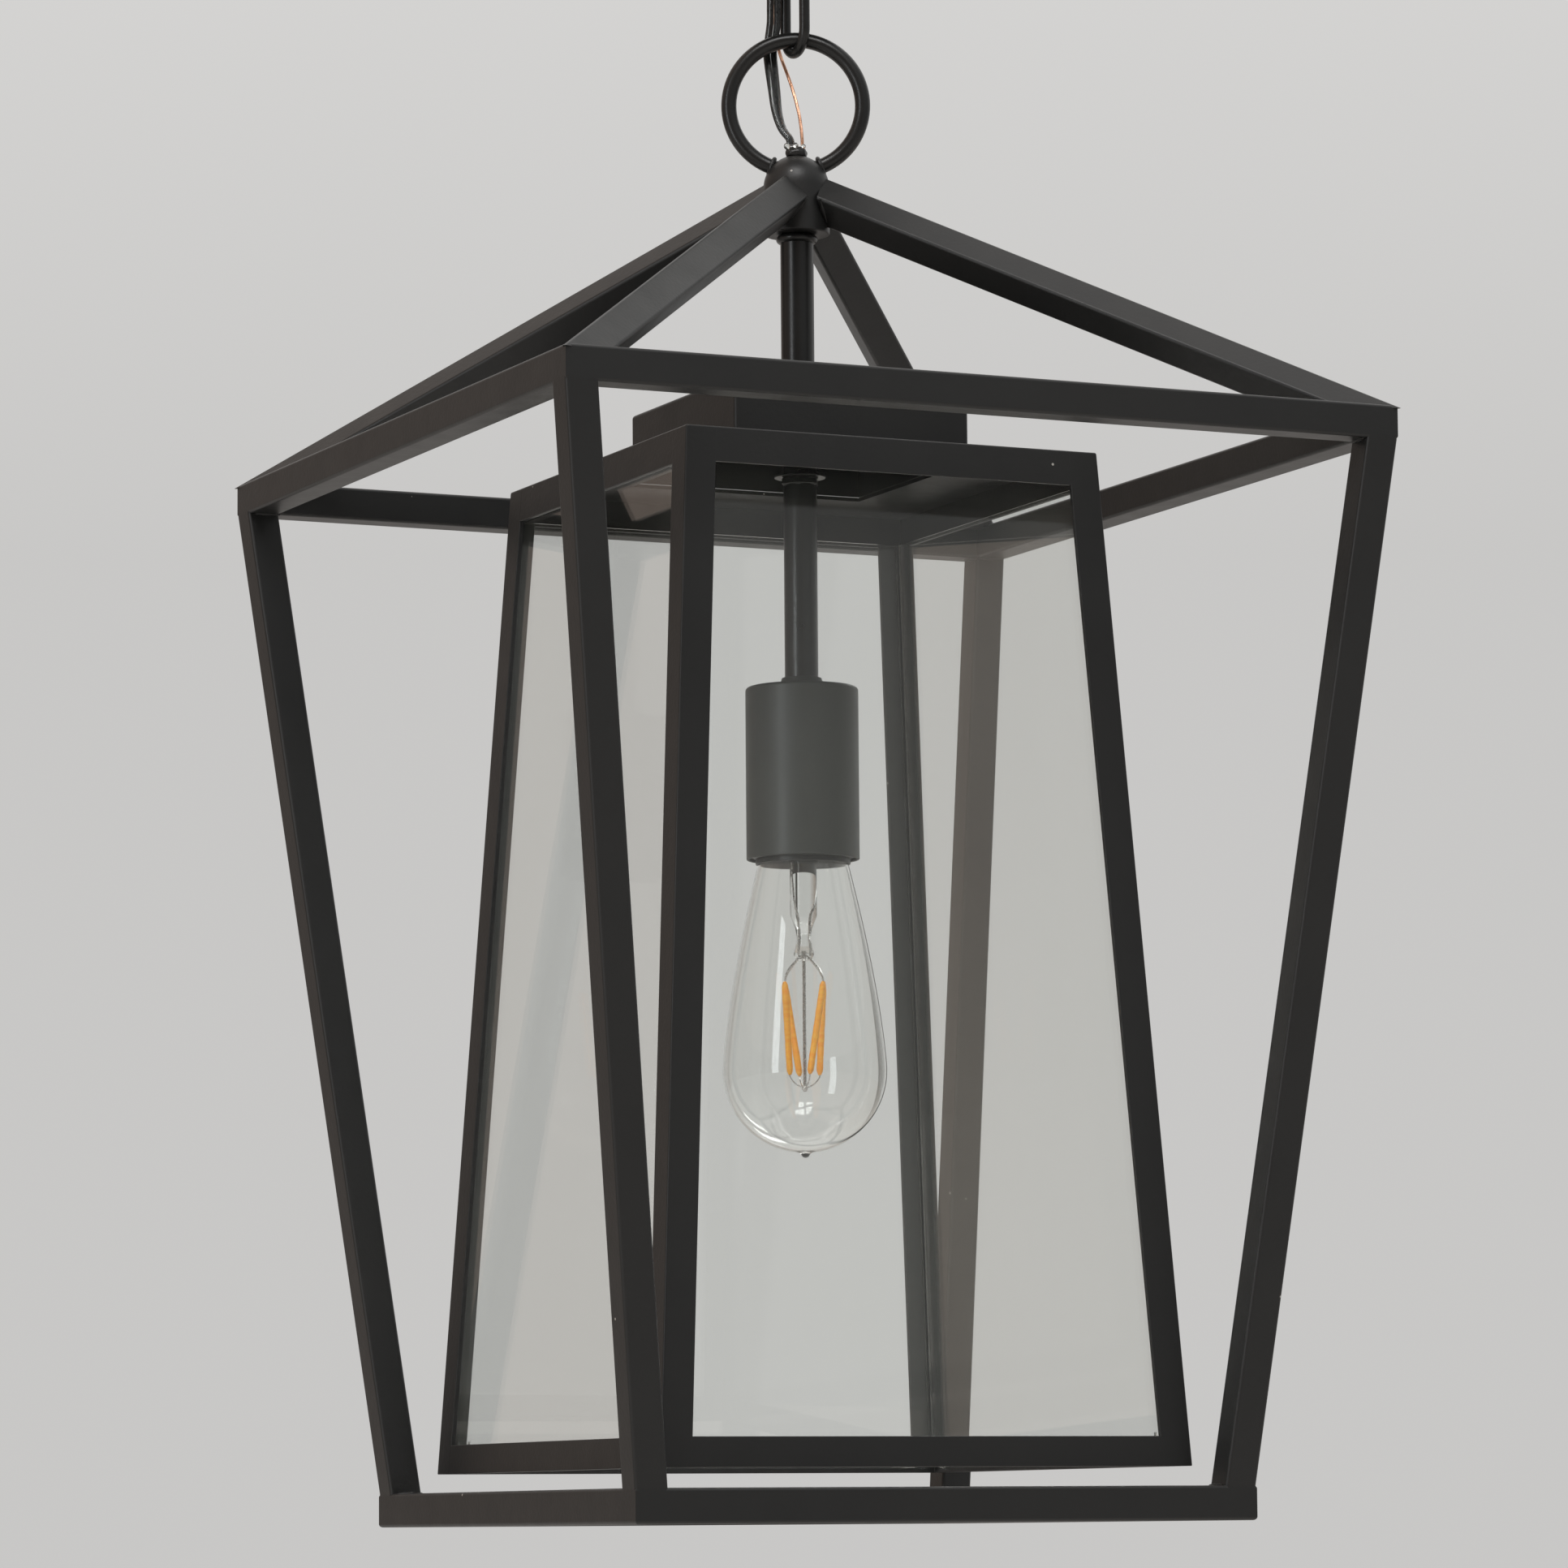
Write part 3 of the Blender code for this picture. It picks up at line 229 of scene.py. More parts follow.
def coat(obj, name):
    """Puts the one material on the whole object."""
    obj.data.materials.clear()
    obj.data.materials.append(finishes[name])


def node(tree, kind, inputs=(), **settings):
    """A node with its settings and inputs. An input that is a socket is linked, and any other is set."""
    made = tree.nodes.new(kind)
    for key, value in settings.items():
        setattr(made, key, value)
    for key, value in dict(inputs).items():
        if isinstance(value, bpy.types.NodeSocket):
            tree.links.new(value, made.inputs[key])
        else:
            made.inputs[key].default_value = value
    return made


def spread(tree, value, low, high, to_low=0.0, to_high=1.0):
    inputs = {"Value": value, "From Min": low, "From Max": high, "To Min": to_low, "To Max": to_high}
    return node(tree, "ShaderNodeMapRange", inputs).outputs["Result"]


def place_of(tree, stretch=None):
    """The object's own coordinates, with each axis scaled by stretch."""
    where = node(tree, "ShaderNodeTexCoord").outputs["Object"]
    if stretch is None:
        return where
    return node(tree, "ShaderNodeMapping", {"Vector": where, "Scale": stretch}).outputs["Vector"]


def cloudy(tree, scale, detail=3.0, low=0.35, high=0.65, stretch=None):
    """Noise over the object, spread out to 0 at low and 1 at high."""
    inputs = {"Vector": place_of(tree, stretch), "Scale": scale, "Detail": detail}
    return spread(tree, node(tree, "ShaderNodeTexNoise", inputs).outputs["Fac"], low, high)


def mixed(tree, amount, first, second):
    """A colour between two, by an amount that is a socket."""
    mix = node(tree, "ShaderNodeMix", data_type="RGBA")
    tree.links.new(amount, mix.inputs[0])
    for socket, value in ((mix.inputs[6], first), (mix.inputs[7], second)):
        if isinstance(value, bpy.types.NodeSocket):
            tree.links.new(value, socket)
        else:
            socket.default_value = (*value, 1)
    return mix.outputs[2]


def times(tree, first, second):
    return node(tree, "ShaderNodeMath", {0: first, 1: second}, operation="MULTIPLY").outputs[0]


def below(tree, value, limit):
    return node(tree, "ShaderNodeMath", {0: value, 1: limit}, operation="LESS_THAN").outputs[0]


def add_bump(tree, shader, height, strength, distance):
    bump = node(tree, "ShaderNodeBump", {"Height": height, "Strength": strength, "Distance": distance})
    tree.links.new(bump.outputs["Normal"], shader.inputs["Normal"])


def specks(tree, scale, size, share):
    """Small round specks: 1 inside one, in only a share of the cells."""
    cells = node(tree, "ShaderNodeTexVoronoi", {"Vector": place_of(tree), "Scale": scale})
    picked = node(tree, "ShaderNodeSeparateColor", {"Color": cells.outputs["Color"]}).outputs["Red"]
    return times(tree, below(tree, cells.outputs["Distance"], size), below(tree, picked, share))


def facing_up(tree, low, high):
    """1 on faces that look up, 0 on those that don't."""
    normal = node(tree, "ShaderNodeNewGeometry").outputs["Normal"]
    return spread(tree, node(tree, "ShaderNodeSeparateXYZ", {"Vector": normal}).outputs["Z"], low, high)


# ---- Materials ----

DUST = (0.20, 0.185, 0.16)
SPECK = (0.40, 0.39, 0.36)
COATS = (  # name, darker, lighter, roughness, orange peel
    ("black_coat", (0.0105, 0.0110, 0.0112), (0.0150, 0.0155, 0.0152), 0.43, 0.18),
    ("stem_coat", (0.0085, 0.0090, 0.0090), (0.0120, 0.0125, 0.0122), 0.29, 0.08),
    ("sleeve_coat", (0.026, 0.028, 0.025), (0.033, 0.035, 0.031), 0.46, 0.12),
)
METALS = (  # name, clean, stained, roughness, stretch of the grain
    ("zinc_steel", (0.55, 0.55, 0.53), (0.42, 0.42, 0.40), 0.36, (1, 1, 1)),
    ("brass", (0.72, 0.52, 0.24), (0.50, 0.34, 0.15), 0.32, (1, 1, 1)),
    ("cap_metal", (0.66, 0.64, 0.60), (0.50, 0.47, 0.42), 0.28, (1, 1, 1)),
    ("bare_copper", (0.86, 0.50, 0.34), (0.60, 0.30, 0.18), 0.30, (1, 1, 0.2)),
    ("lead_wire", (0.62, 0.61, 0.60), (0.45, 0.44, 0.42), 0.25, (1, 1, 1)),
)
PLASTICS = (  # name, first colour, second colour, roughness, peel
    ("white_plastic", (0.78, 0.78, 0.75), (0.72, 0.71, 0.67), 0.40, 0.10),
    ("black_bush", (0.012, 0.012, 0.012), (0.022, 0.022, 0.021), 0.38, 0.25),
    ("core_grey", (0.016, 0.016, 0.017), (0.030, 0.031, 0.031), 0.30, 0.10),
)
CLEARS = (  # name, tint, roughness, index of refraction, film of dirt, its colour
    ("pane_glass", (0.985, 0.995, 0.985), 0.0, 1.50, 0.016, (0.60, 0.62, 0.54)),
    ("lamp_glass", (0.99, 0.995, 0.99), 0.0, 1.47, 0.015, (0.70, 0.70, 0.66)),
    ("clear_glue", (0.84, 0.86, 0.84), 0.05, 1.46, 0.05, (0.55, 0.55, 0.52)),
    ("flex_clear", (0.72, 0.75, 0.74), 0.05, 1.46, 0.03, (0.45, 0.46, 0.45)),
)
FILAMENT_COLOURS = ((0.98, 0.36, 0.008), (1.0, 0.47, 0.03))


def coat_material(name, dark, light, roughness, peel):
    """A satin powder coat: faint clouding, orange peel, dust settled on top and a few pale specks."""
    tree, shader = new_material(name)
    colour = mixed(tree, cloudy(tree, scale=22.0, low=0.2, high=0.8), dark, light)
    patches = cloudy(tree, scale=60.0, detail=5.0, low=0.30, high=0.75)
    dust = times(tree, facing_up(tree, low=0.55, high=1.0), patches)
    colour = mixed(tree, times(tree, dust, 0.16), colour, DUST)
    colour = mixed(tree, specks(tree, scale=150.0, size=0.075, share=0.035), colour, SPECK)
    tree.links.new(colour, shader.inputs["Base Color"])
    sheen = cloudy(tree, scale=90.0, detail=4.0, low=0.2, high=0.8)
    rough = spread(tree, sheen, 0, 1, to_low=roughness - 0.03, to_high=roughness + 0.04)
    tree.links.new(rough, shader.inputs["Roughness"])
    grain = cloudy(tree, scale=620.0, detail=2.0, low=0.2, high=0.8)
    add_bump(tree, shader, grain, strength=peel, distance=0.0002)


def metal_material(name, colour, stain, roughness, grain):
    """A bare metal with faint stains and a fine grain along it."""
    tree, shader = new_material(name)
    stained = mixed(tree, cloudy(tree, scale=130.0, detail=4.0, low=0.45, high=0.85), colour, stain)
    tree.links.new(stained, shader.inputs["Base Color"])
    shader.inputs["Metallic"].default_value = 1
    marks = cloudy(tree, scale=900.0, detail=3.0, low=0.3, high=0.7, stretch=grain)
    rough = spread(tree, marks, 0, 1, to_low=roughness - 0.06, to_high=roughness + 0.10)
    tree.links.new(rough, shader.inputs["Roughness"])
    add_bump(tree, shader, marks, strength=0.08, distance=0.0001)


def dull_material(name, first, second, roughness, peel):
    """Moulded plastic or rubber."""
    tree, shader = new_material(name)
    colour = mixed(tree, cloudy(tree, scale=75.0, detail=4.0), first, second)
    tree.links.new(colour, shader.inputs["Base Color"])
    sheen = cloudy(tree, scale=260.0)
    rough = spread(tree, sheen, 0, 1, to_low=roughness - 0.05, to_high=roughness + 0.05)
    tree.links.new(rough, shader.inputs["Roughness"])
    grain = cloudy(tree, scale=1400.0, detail=2.0, low=0.2, high=0.8)
    add_bump(tree, shader, grain, strength=peel, distance=0.0001)


def clear_material(name, tint, roughness, index, film, film_colour):
    """Clear glass or plastic with a thin uneven film of dirt. Lamps shine through it."""
    tree, shader = new_material(name)
    shader.inputs["Base Color"].default_value = (*tint, 1)
    shader.inputs["Transmission Weight"].default_value = 1
    shader.inputs["IOR"].default_value = index
    wiped = cloudy(tree, scale=26.0, detail=5.0, low=0.35, high=0.75, stretch=(1, 1, 0.35))
    rough = spread(tree, wiped, 0, 1, to_low=roughness, to_high=roughness + 0.015)
    tree.links.new(rough, shader.inputs["Roughness"])
    dirt = node(tree, "ShaderNodeBsdfDiffuse", {"Color": (*film_colour, 1)})
    share = spread(tree, wiped, 0, 1, to_low=film * 0.4, to_high=film)
    dusty = node(tree, "ShaderNodeMixShader", {0: share, 1: shader.outputs[0], 2: dirt.outputs[0]})
    through = node(tree, "ShaderNodeBsdfTransparent", {"Color": (*tint, 1)})
    shadow = node(tree, "ShaderNodeLightPath").outputs["Is Shadow Ray"]
    both = node(tree, "ShaderNodeMixShader", {0: shadow, 1: dusty.outputs[0], 2: through.outputs[0]})
    tree.links.new(both.outputs[0], tree.nodes["Material Output"].inputs["Surface"])


def filament_material():
    """Phosphor paste over the row of chips, with faint bands across it."""
    tree, shader = new_material("filament_amber")
    bands = cloudy(tree, scale=300.0, detail=2.0, stretch=(0.3, 0.3, 3.0))
    tree.links.new(mixed(tree, bands, *FILAMENT_COLOURS), shader.inputs["Base Color"])
    shader.inputs["Roughness"].default_value = 0.5
    shader.inputs["Subsurface Weight"].default_value = 0.3
    shader.inputs["Subsurface Radius"].default_value = (0.002, 0.001, 0.0004)
    add_bump(tree, shader, bands, strength=0.2, distance=0.0001)


def make_materials():
    makers = (coat_material, metal_material, dull_material, clear_material)
    for make, table in zip(makers, (COATS, METALS, PLASTICS, CLEARS)):
        for row in table:
            make(*row)
    filament_material()


# ---- Mesh tools ----

CREASE = radians(38)
WELD_POINTS = 1e-7


def mesh_from(bm, name):
    """The finished mesh: welded, facing out, and shaded smooth between sharp creases."""
    bmesh.ops.remove_doubles(bm, verts=bm.verts, dist=WELD_POINTS)
    bmesh.ops.recalc_face_normals(bm, faces=bm.faces)
    mesh = bpy.data.meshes.new(name)
    bm.to_mesh(mesh)
    bm.free()
    mesh.shade_smooth()
    mesh.set_sharp_from_angle(angle=CREASE)
    return mesh


def placed(name, mesh, turn=0.0):
    """An object in the scene, its mesh turned about the lantern's axis."""
    if turn:
        mesh = mesh.copy()
        mesh.transform(Matrix.Rotation(turn, 4, "Z"))
    piece = bpy.data.objects.new(name, mesh)
    bpy.context.scene.collection.objects.link(piece)
    return piece


def fitted(name, mesh, body, material, *nodes, slot=None, turn=0.0):
    """A piece in place of CAD nodes: it rides on their body. The slot argument is not used."""
    piece = placed(name, mesh, turn)
    weighted = piece.modifiers.new("Flat faces stay flat", "WEIGHTED_NORMAL")
    weighted.keep_sharp = True
    coat(piece, material)
    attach(piece, body)
    if nodes:
        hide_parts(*nodes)


def fitted_round(prefix, kinds):
    """The four pieces of each kind, on the lantern's four sides. A kind is (nodes, mesh, material, turn)."""
    for kind, mesh, material, turn in kinds:
        for i in SIDES:
            node_name = f"{kind}_{i + 1}"
            fitted(f"{prefix}_{node_name}", mesh, "lantern", material, node_name, turn=turn + i * QUARTER)


def skinned(name, rows, round_rows=False, round_points=True, caps=True):
    """Faces between rows of points. Rows and points can each run round and meet, and caps close the ends."""
    bm = bmesh.new()
    made = [[bm.verts.new(point) for point in row] for row in rows]
    count = len(rows[0])
    following = made[1:] + made[:1] if round_rows else made[1:]
    for near, far in zip(made, following):
        for i in range(count if round_points else count - 1):
            j = (i + 1) % count
            bm.faces.new((near[i], near[j], far[j], far[i]))
    if caps and not round_rows:
        bm.faces.new(made[0])
        bm.faces.new(made[-1])
    return mesh_from(bm, name)


def offset(outline, inset):
    """A flat outline, anticlockwise, moved inwards all round."""
    moved = []
    for before, here, after in zip(outline[-1:] + outline, outline, outline[1:] + outline[:1]):
        ways = [(here - before).normalized(), (after - here).normalized()]
        normals = [Vector((-way.y, way.x)) for way in ways]
        moved.append(here + (normals[0] + normals[1]) * inset / (1 + normals[0].dot(normals[1])))
    return moved


def rounded(outline, radii, steps=EDGE_STEPS):
    """The outline with each corner rounded to its own radius; 0 leaves it sharp but keeps the count."""
    points = []
    for before, here, after, radius in zip(outline[-1:] + outline, outline, outline[1:] + outline[:1], radii):
        back, on = (before - here).normalized(), (after - here).normalized()
        half = back.angle(on) / 2
        middle = here + (back + on).normalized() * radius / sin(half)
        start, end = here + back * radius / tan(half), here + on * radius / tan(half)
        for i in range(steps + 1):
            if radius == 0:
                points.append(here.copy())
                continue
            way = (start - middle).lerp(end - middle, i / steps).normalized()
            points.append(middle + way * radius)
    return points


def bar(name, outline, radii, start, end, across, upward, start_normal, end_normal, ends=(0, 0)):
    """A straight bar. Its outline is set across the line, and its ends lie in planes through start and end.
    An end with a radius has its rim rounded over."""
    axis = (end - start).normalized()
    rows = []
    for corner, normal, edge, way in ((start, start_normal, ends[0], 1), (end, end_normal, ends[1], -1)):
        rings = []
        for i in range(EDGE_STEPS + 1 if edge else 1):
            angle = QUARTER * i / EDGE_STEPS
            inset = edge * (1 - sin(angle))
            centre = corner + axis * way * edge * (1 - cos(angle)) / abs(axis.dot(normal))
            section = rounded(offset(outline, inset), [max(radius - inset, 0) for radius in radii])
            ring = []
            for point in section:
                spot = centre + across * point.x + upward * point.y
                ring.append(spot + axis * ((centre - spot).dot(normal) / axis.dot(normal)))
            rings.append(ring)
        rows += rings if way == 1 else rings[::-1]
    return skinned(name, rows)


def square(half):
    return [Vector((-half, -half)), Vector((half, -half)), Vector((half, half)), Vector((-half, half))]


def turned(name, profile, steps=64, closed=True):
    """A turned piece. An open profile starts and ends on the axis."""
    rows = []
    for i in range(steps):
        angle = 2 * pi * i / steps
        rows.append([Vector((r * cos(angle), r * sin(angle), z)) for r, z in profile])
    return skinned(name, rows, round_rows=True, round_points=closed, caps=False)


def arc(x, z, radius, start, end, steps):
    """Points on an arc round (x, z); angles in degrees from +X towards +Z."""
    angles = [radians(start + (end - start) * i / steps) for i in range(steps + 1)]
    return [(x + radius * cos(angle), z + radius * sin(angle)) for angle in angles]


def eased_profile(corners, steps=EDGE_STEPS):
    outline = [Vector((r, z)) for r, z, _ in corners]
    return [tuple(point) for point in rounded(outline, [edge for _, _, edge in corners], steps)]


def eased(name, corners, turns=64, steps=EDGE_STEPS):
    """A turned piece with rounded corners. Each corner is (radius from the axis, height, edge)."""
    return turned(name, eased_profile(corners, steps), turns)


def tube_rows(points, radius, sides, closed=False):
    """Rings of points round a path, carried along it without twisting. radius may be a function of 0 to 1."""
    count = len(points)
    rows = []
    normal = None
    for i, point in enumerate(points):
        before = points[i - 1] if i or closed else point
        after = points[(i + 1) % count] if i < count - 1 or closed else point
        way = (after - before).normalized()
        if normal is None:
            normal = way.orthogonal().normalized()
        normal = (normal - way * normal.dot(way)).normalized()
        side = way.cross(normal)
        size = radius(i / (count - 1)) if callable(radius) else radius
        rows.append([
            point + (normal * cos(2 * pi * k / sides) + side * sin(2 * pi * k / sides)) * size
            for k in range(sides)
        ])
    return rows


def tube(name, points, radius, sides, closed=False):
    return skinned(name, tube_rows(points, radius, sides, closed), round_rows=closed)


def merged(name, meshes):
    """Several meshes as one."""
    bm = bmesh.new()
    for mesh in meshes:
        bm.from_mesh(mesh)
    return mesh_from(bm, name)


def bead(path, radius, seed):
    """A weld or a run of glue along a path, lumpy and tapered to its ends."""
    rng = random.Random(seed)
    lumps = [rng.uniform(0.8, 1.2) for _ in path]
    count = len(path) - 1
    tip, thin = 0.04, 0.35

    def size(t):
        swell = sin(pi * min(max(t, tip), 1 - tip))
        return radius * lumps[round(t * count)] * (thin + (1 - thin) * swell)

    return skinned("bead", tube_rows(path, size, 8))


def line(start, end, count):
    return [start.lerp(end, i / (count - 1)) for i in range(count)]


# ---- The outer cage ----

APEX_DROP = 0.001
WELD = 0.0009
WELD_INSET = 0.0030
TUBE_SECTION = square(TUBE / 2)


def ring_rail(name, reach, foot):
    """One side of a square ring of tube, mitred at both ends, its long edges rounded."""
    line_at = reach - TUBE / 2
    middle = foot + TUBE / 2
    start, end = Vector((-line_at, -line_at, middle)), Vector((line_at, -line_at, middle))
    return bar(
        name, TUBE_SECTION, [TUBE_EDGE] * 4, start, end, Y, Z,
        Vector((1, -1, 0)).normalized(), Vector((1, 1, 0)).normalized(),
    )


def cage_post():
    """The front left post. Each end tucks a little way into its ring, so that the joint is ground flush."""
    low, high = TUBE / 2 - CAGE_FOOT_REACH, TUBE / 2 - CAGE_TOP_REACH
    start = Vector((low, low, CAGE_FOOT + TUBE))
    end = Vector((high, high, CAGE_TOP - TUBE))
    section = rounded(offset(TUBE_SECTION, NEAR_FLUSH), [TUBE_EDGE] * 4)
    rows = [
        [centre + Vector((point.x, point.y, 0)) for point in section]
        for centre in (start - Z * TUCK, start, end, end + Z * TUCK)
    ]
    return skinned("post", rows)


ROOF_CENTRE_APEX = DOME_BASE - APEX_DROP
ROOF_RISE = ROOF_CENTRE_APEX - CAGE_TOP
CORNER_WAY = CAGE_TOP_REACH * sqrt(2)
ROOF_SLOPE = atan2(ROOF_RISE, CORNER_WAY) + asin(TUBE / sqrt(2) / hypot(CORNER_WAY, ROOF_RISE))


def on_roof_bar(way):
    """The point on a roof bar's middle line at a distance along +X."""
    return Vector((way, 0, ROOF_CENTRE_APEX - way * tan(ROOF_SLOPE)))


def roof_bar():
    """The bar along +X, edge up, from inside the hub's wall down into the top of the ring."""
    above = Vector((sin(ROOF_SLOPE), 0, cos(ROOF_SLOPE)))
    foot = (ROOF_CENTRE_APEX - CAGE_TOP + TUCK) / tan(ROOF_SLOPE)
    return bar(
        "roof_bar", TUBE_SECTION, [TUBE_EDGE] * 4, on_roof_bar(HUB_RADIUS - TUCK), on_roof_bar(foot),
        (Y + above).normalized(), (Y - above).normalized(), X, Z,
    )


def cage_welds():
    """The welds that the coat covers: in the cage's inner corners, and where the bars meet the hub."""
    meshes = []
    rings = ((CAGE_TOP_REACH - TUBE, CAGE_TOP - TUBE, 3), (CAGE_FOOT_REACH - TUBE, CAGE_FOOT + TUBE, 11))
    for reach, z, seed in rings:
        far = reach + TUBE - WELD_INSET
        corner = Vector((-reach, -reach, z))
        for i, start in enumerate((Vector((-reach, -far, z)), Vector((-far, -reach, z)))):
            meshes.append(bead(line(start, corner, 9), WELD, seed + i))
    half = TUBE / sqrt(2)
    heel = on_roof_bar(HUB_RADIUS + NEAR_TIGHT)
    for side in (-1, 1):
        run = bead(line(heel - Z * half, heel + Y * side * half, 9), WELD, 20 + side)
        run.transform(Matrix.Rotation(-3 * QUARTER / 2, 4, "Z"))
        meshes.append(run)
    copies = []
    for i in SIDES:
        for mesh in meshes:
            copy = mesh.copy()
            copy.transform(Matrix.Rotation(i * QUARTER, 4, "Z"))
            copies.append(copy)
    return merged("cage_welds", copies)


def outer_cage():
    fitted_round("cage", (
        ("top_rail", ring_rail("top_rail", CAGE_TOP_REACH, CAGE_TOP - TUBE), "black_coat", 0),
        ("bottom_rail", ring_rail("bottom_rail", CAGE_FOOT_REACH, CAGE_FOOT), "black_coat", 0),
        ("post", cage_post(), "black_coat", 0), ("roof_bar", roof_bar(), "black_coat", -3 * QUARTER / 2),
    ))
    fitted("cage_welds", cage_welds(), "lantern", "black_coat")


# ---- The inner lantern ----


def reach_at(z):
    """Half the inner lantern's width at a height."""
    return INNER_TOP_REACH + INNER_LEAN * (INNER_TOP - z)


def leaning(outline):
    """An outline of (depth behind the front face, height), set on the leaning front."""
    return [Vector((depth - reach_at(z), z)) for depth, z in outline]


def front_bar(name, outline, radii, inset, ends=(0, 0)):
    """A piece along the front side, its ends leaning with the posts and lying inset from the corners."""
    start = X * (inset - reach_at(0))
    return bar(
        name, leaning(outline), radii, start, -start, Y, Z,
        Vector((1, 0, -INNER_LEAN)).normalized(), Vector((1, 0, INNER_LEAN)).normalized(), ends,
    )


def inner_post():
    outline = [
        (0, 0), (POST_FACE, 0), (POST_FACE, FLANGE), (FLANGE, FLANGE), (FLANGE, POST_FACE), (0, POST_FACE),
    ]
    start = Vector((-INNER_FOOT_REACH, -INNER_FOOT_REACH, INNER_FOOT))
    end = Vector((-INNER_TOP_REACH, -INNER_TOP_REACH, INNER_TOP))
    radii = [STRIP_EDGE, *[FINE_EDGE] * 5]
    corners = [Vector(point) for point in outline]
    return bar("inner_post", corners, radii, start, end, X, Y, Z, Z, (FINE_EDGE, STRIP_EDGE))


def inner_top_rail():
    low, near = INNER_TOP - TOP_RAIL_FACE, NEAR_FLUSH
    outline = [(near, low), (FLANGE, low), (FLANGE, INNER_TOP), (near, INNER_TOP)]
    radii = [FINE_EDGE, FINE_EDGE, FINE_EDGE, STRIP_EDGE]
    return front_bar("inner_top_rail", outline, radii, POST_FACE - TUCK)


def inner_bottom_rail():
    shelf, near = GLASS_NEAR + GLASS_THICK, NEAR_FLUSH
    floor, high = INNER_FOOT + FLANGE, INNER_FOOT + BOTTOM_RAIL_FACE
    outline = [
        (near, INNER_FOOT), (shelf, INNER_FOOT), (shelf, floor), (FLANGE, floor), (FLANGE, high), (near, high),
    ]
    return front_bar("inner_bottom_rail", outline, [FINE_EDGE] * 6, POST_FACE - TUCK)


def pane():
    """A pane with its four edges ground and polished."""
    far = GLASS_NEAR + GLASS_THICK
    low, high = glass_low.z, glass_high.z
    outline = [(GLASS_NEAR, low), (far, low), (far, high), (GLASS_NEAR, high)]
    return front_bar("pane", outline, [FINE_EDGE] * 4, far + GAP, (FINE_EDGE, FINE_EDGE))


def pane_glue():
    """Dabs of clear sealant that hold the front pane's lower corners."""
    shelf, lift, run, rise = INNER_FOOT + FLANGE, 0.0006, 0.011, 0.010
    meshes = []
    for side in (-1, 1):
        depth = GLASS_NEAR + GLASS_THICK - reach_at(shelf)
        corner = Vector((side * (reach_at(shelf) - POST_FACE), depth, shelf + lift))
        meshes.append(bead(line(corner, corner - X * side * run, 10), 0.0011, 40 + side))
        up = corner + Z * rise + Vector((side * -rise * INNER_LEAN, rise * INNER_LEAN, 0))
        meshes.append(bead(line(corner, up, 9), 0.0009, 50 + side))
    return merged("pane_glue", meshes)


def inner_frame():
    fitted_round("lantern", (
        ("inner_post", inner_post(), "black_coat", 0), ("inner_top_rail", inner_top_rail(), "black_coat", 0),
        ("inner_bottom_rail", inner_bottom_rail(), "black_coat", 0), ("glass", pane(), "pane_glass", 0),
    ))
    glue = pane_glue()
    for i in SIDES:
        fitted(f"pane_glue_{i + 1}", glue, "lantern", "clear_glue", slot="pane_glass", turn=i * QUARTER)


def canopy_box():
    """The box on the lantern's ceiling, folded from sheet and open below."""
    reach, wall, edge = box_high.x, SHEET, 0.0016

    def ring(inset, z, corner):
        half = reach - inset
        return [Vector((p.x, p.y, z)) for p in rounded(square(half), [corner] * 4)]

    low, high = box_low.z, box_high.z
    rows = [ring(wall, high - wall, FINE_EDGE), ring(wall, low, FINE_EDGE), ring(0, low, edge)]
    for i in range(EDGE_STEPS + 1):
        angle = QUARTER * i / EDGE_STEPS
        inset = edge * (1 - cos(angle))
        rows.append(ring(inset, high - edge + edge * sin(angle), edge - inset))
    fitted("lantern_box", skinned("box", rows), "lantern", "black_coat", "canopy_box")


# ---- The hub, the ring, the stem and the lampholder ----


def beside_ring(along, front, z):
    """A point from its distances along the ring's plane and in front of it."""
    ring_way = Vector((cos(RING_AZIMUTH), sin(RING_AZIMUTH), 0))
    front_way = Vector((sin(RING_AZIMUTH), -cos(RING_AZIMUTH), 0))
    return ring_way * along + front_way * front + Z * z


def circle(centre, first, second, radius, count):
    return [
        centre + (first * cos(2 * pi * i / count) + second * sin(2 * pi * i / count)) * radius
        for i in range(count)
    ]


def hub_and_ring():
    lip = 0.0006
    profile = [(0, DOME_TOP), *arc(0, DOME_BASE, HUB_RADIUS, 90, 0, 20)[1:]]
    profile += arc(HUB_RADIUS - lip, HUB_UNDERSIDE + lip, lip, 0, -90, 4) + [(0, HUB_UNDERSIDE)]
    fitted("hub_dome", turned("hub", profile, closed=False), "lantern", "black_coat", "hub")
    ring_way = beside_ring(1, 0, 0)
    path = circle(Z * RING_CENTRE, ring_way, Z, RING_RADIUS, 96)
    ring = tube("ring", path, RING_WIRE / 2, 20, closed=True)
    fitted("top_ring", ring, "lantern", "stem_coat", "suspension_ring", slot="black_coat")
    apart = RING_CENTRE - DOME_BASE
    up = (HUB_RADIUS**2 - RING_RADIUS**2 + apart**2) / (2 * apart)
    out = sqrt(HUB_RADIUS**2 - up**2)
    fillets = []
    for side in (-1, 1):
        meet = beside_ring(side * out, 0, DOME_BASE + up)
        from_centre = (meet - Z * RING_CENTRE).normalized()
        run = circle(meet, from_centre, ring_way.cross(Z), RING_WIRE / 2 + NEAR_TIGHT, 24)
        rng = random.Random(60 + side)
        run = [spot + (spot - meet) * rng.uniform(-0.04, 0.08) for spot in run]
        fillets.append(tube("fillet", run, WELD, 8, closed=True))
    fitted("ring_welds", merged("ring_welds", fillets), "lantern", "black_coat")


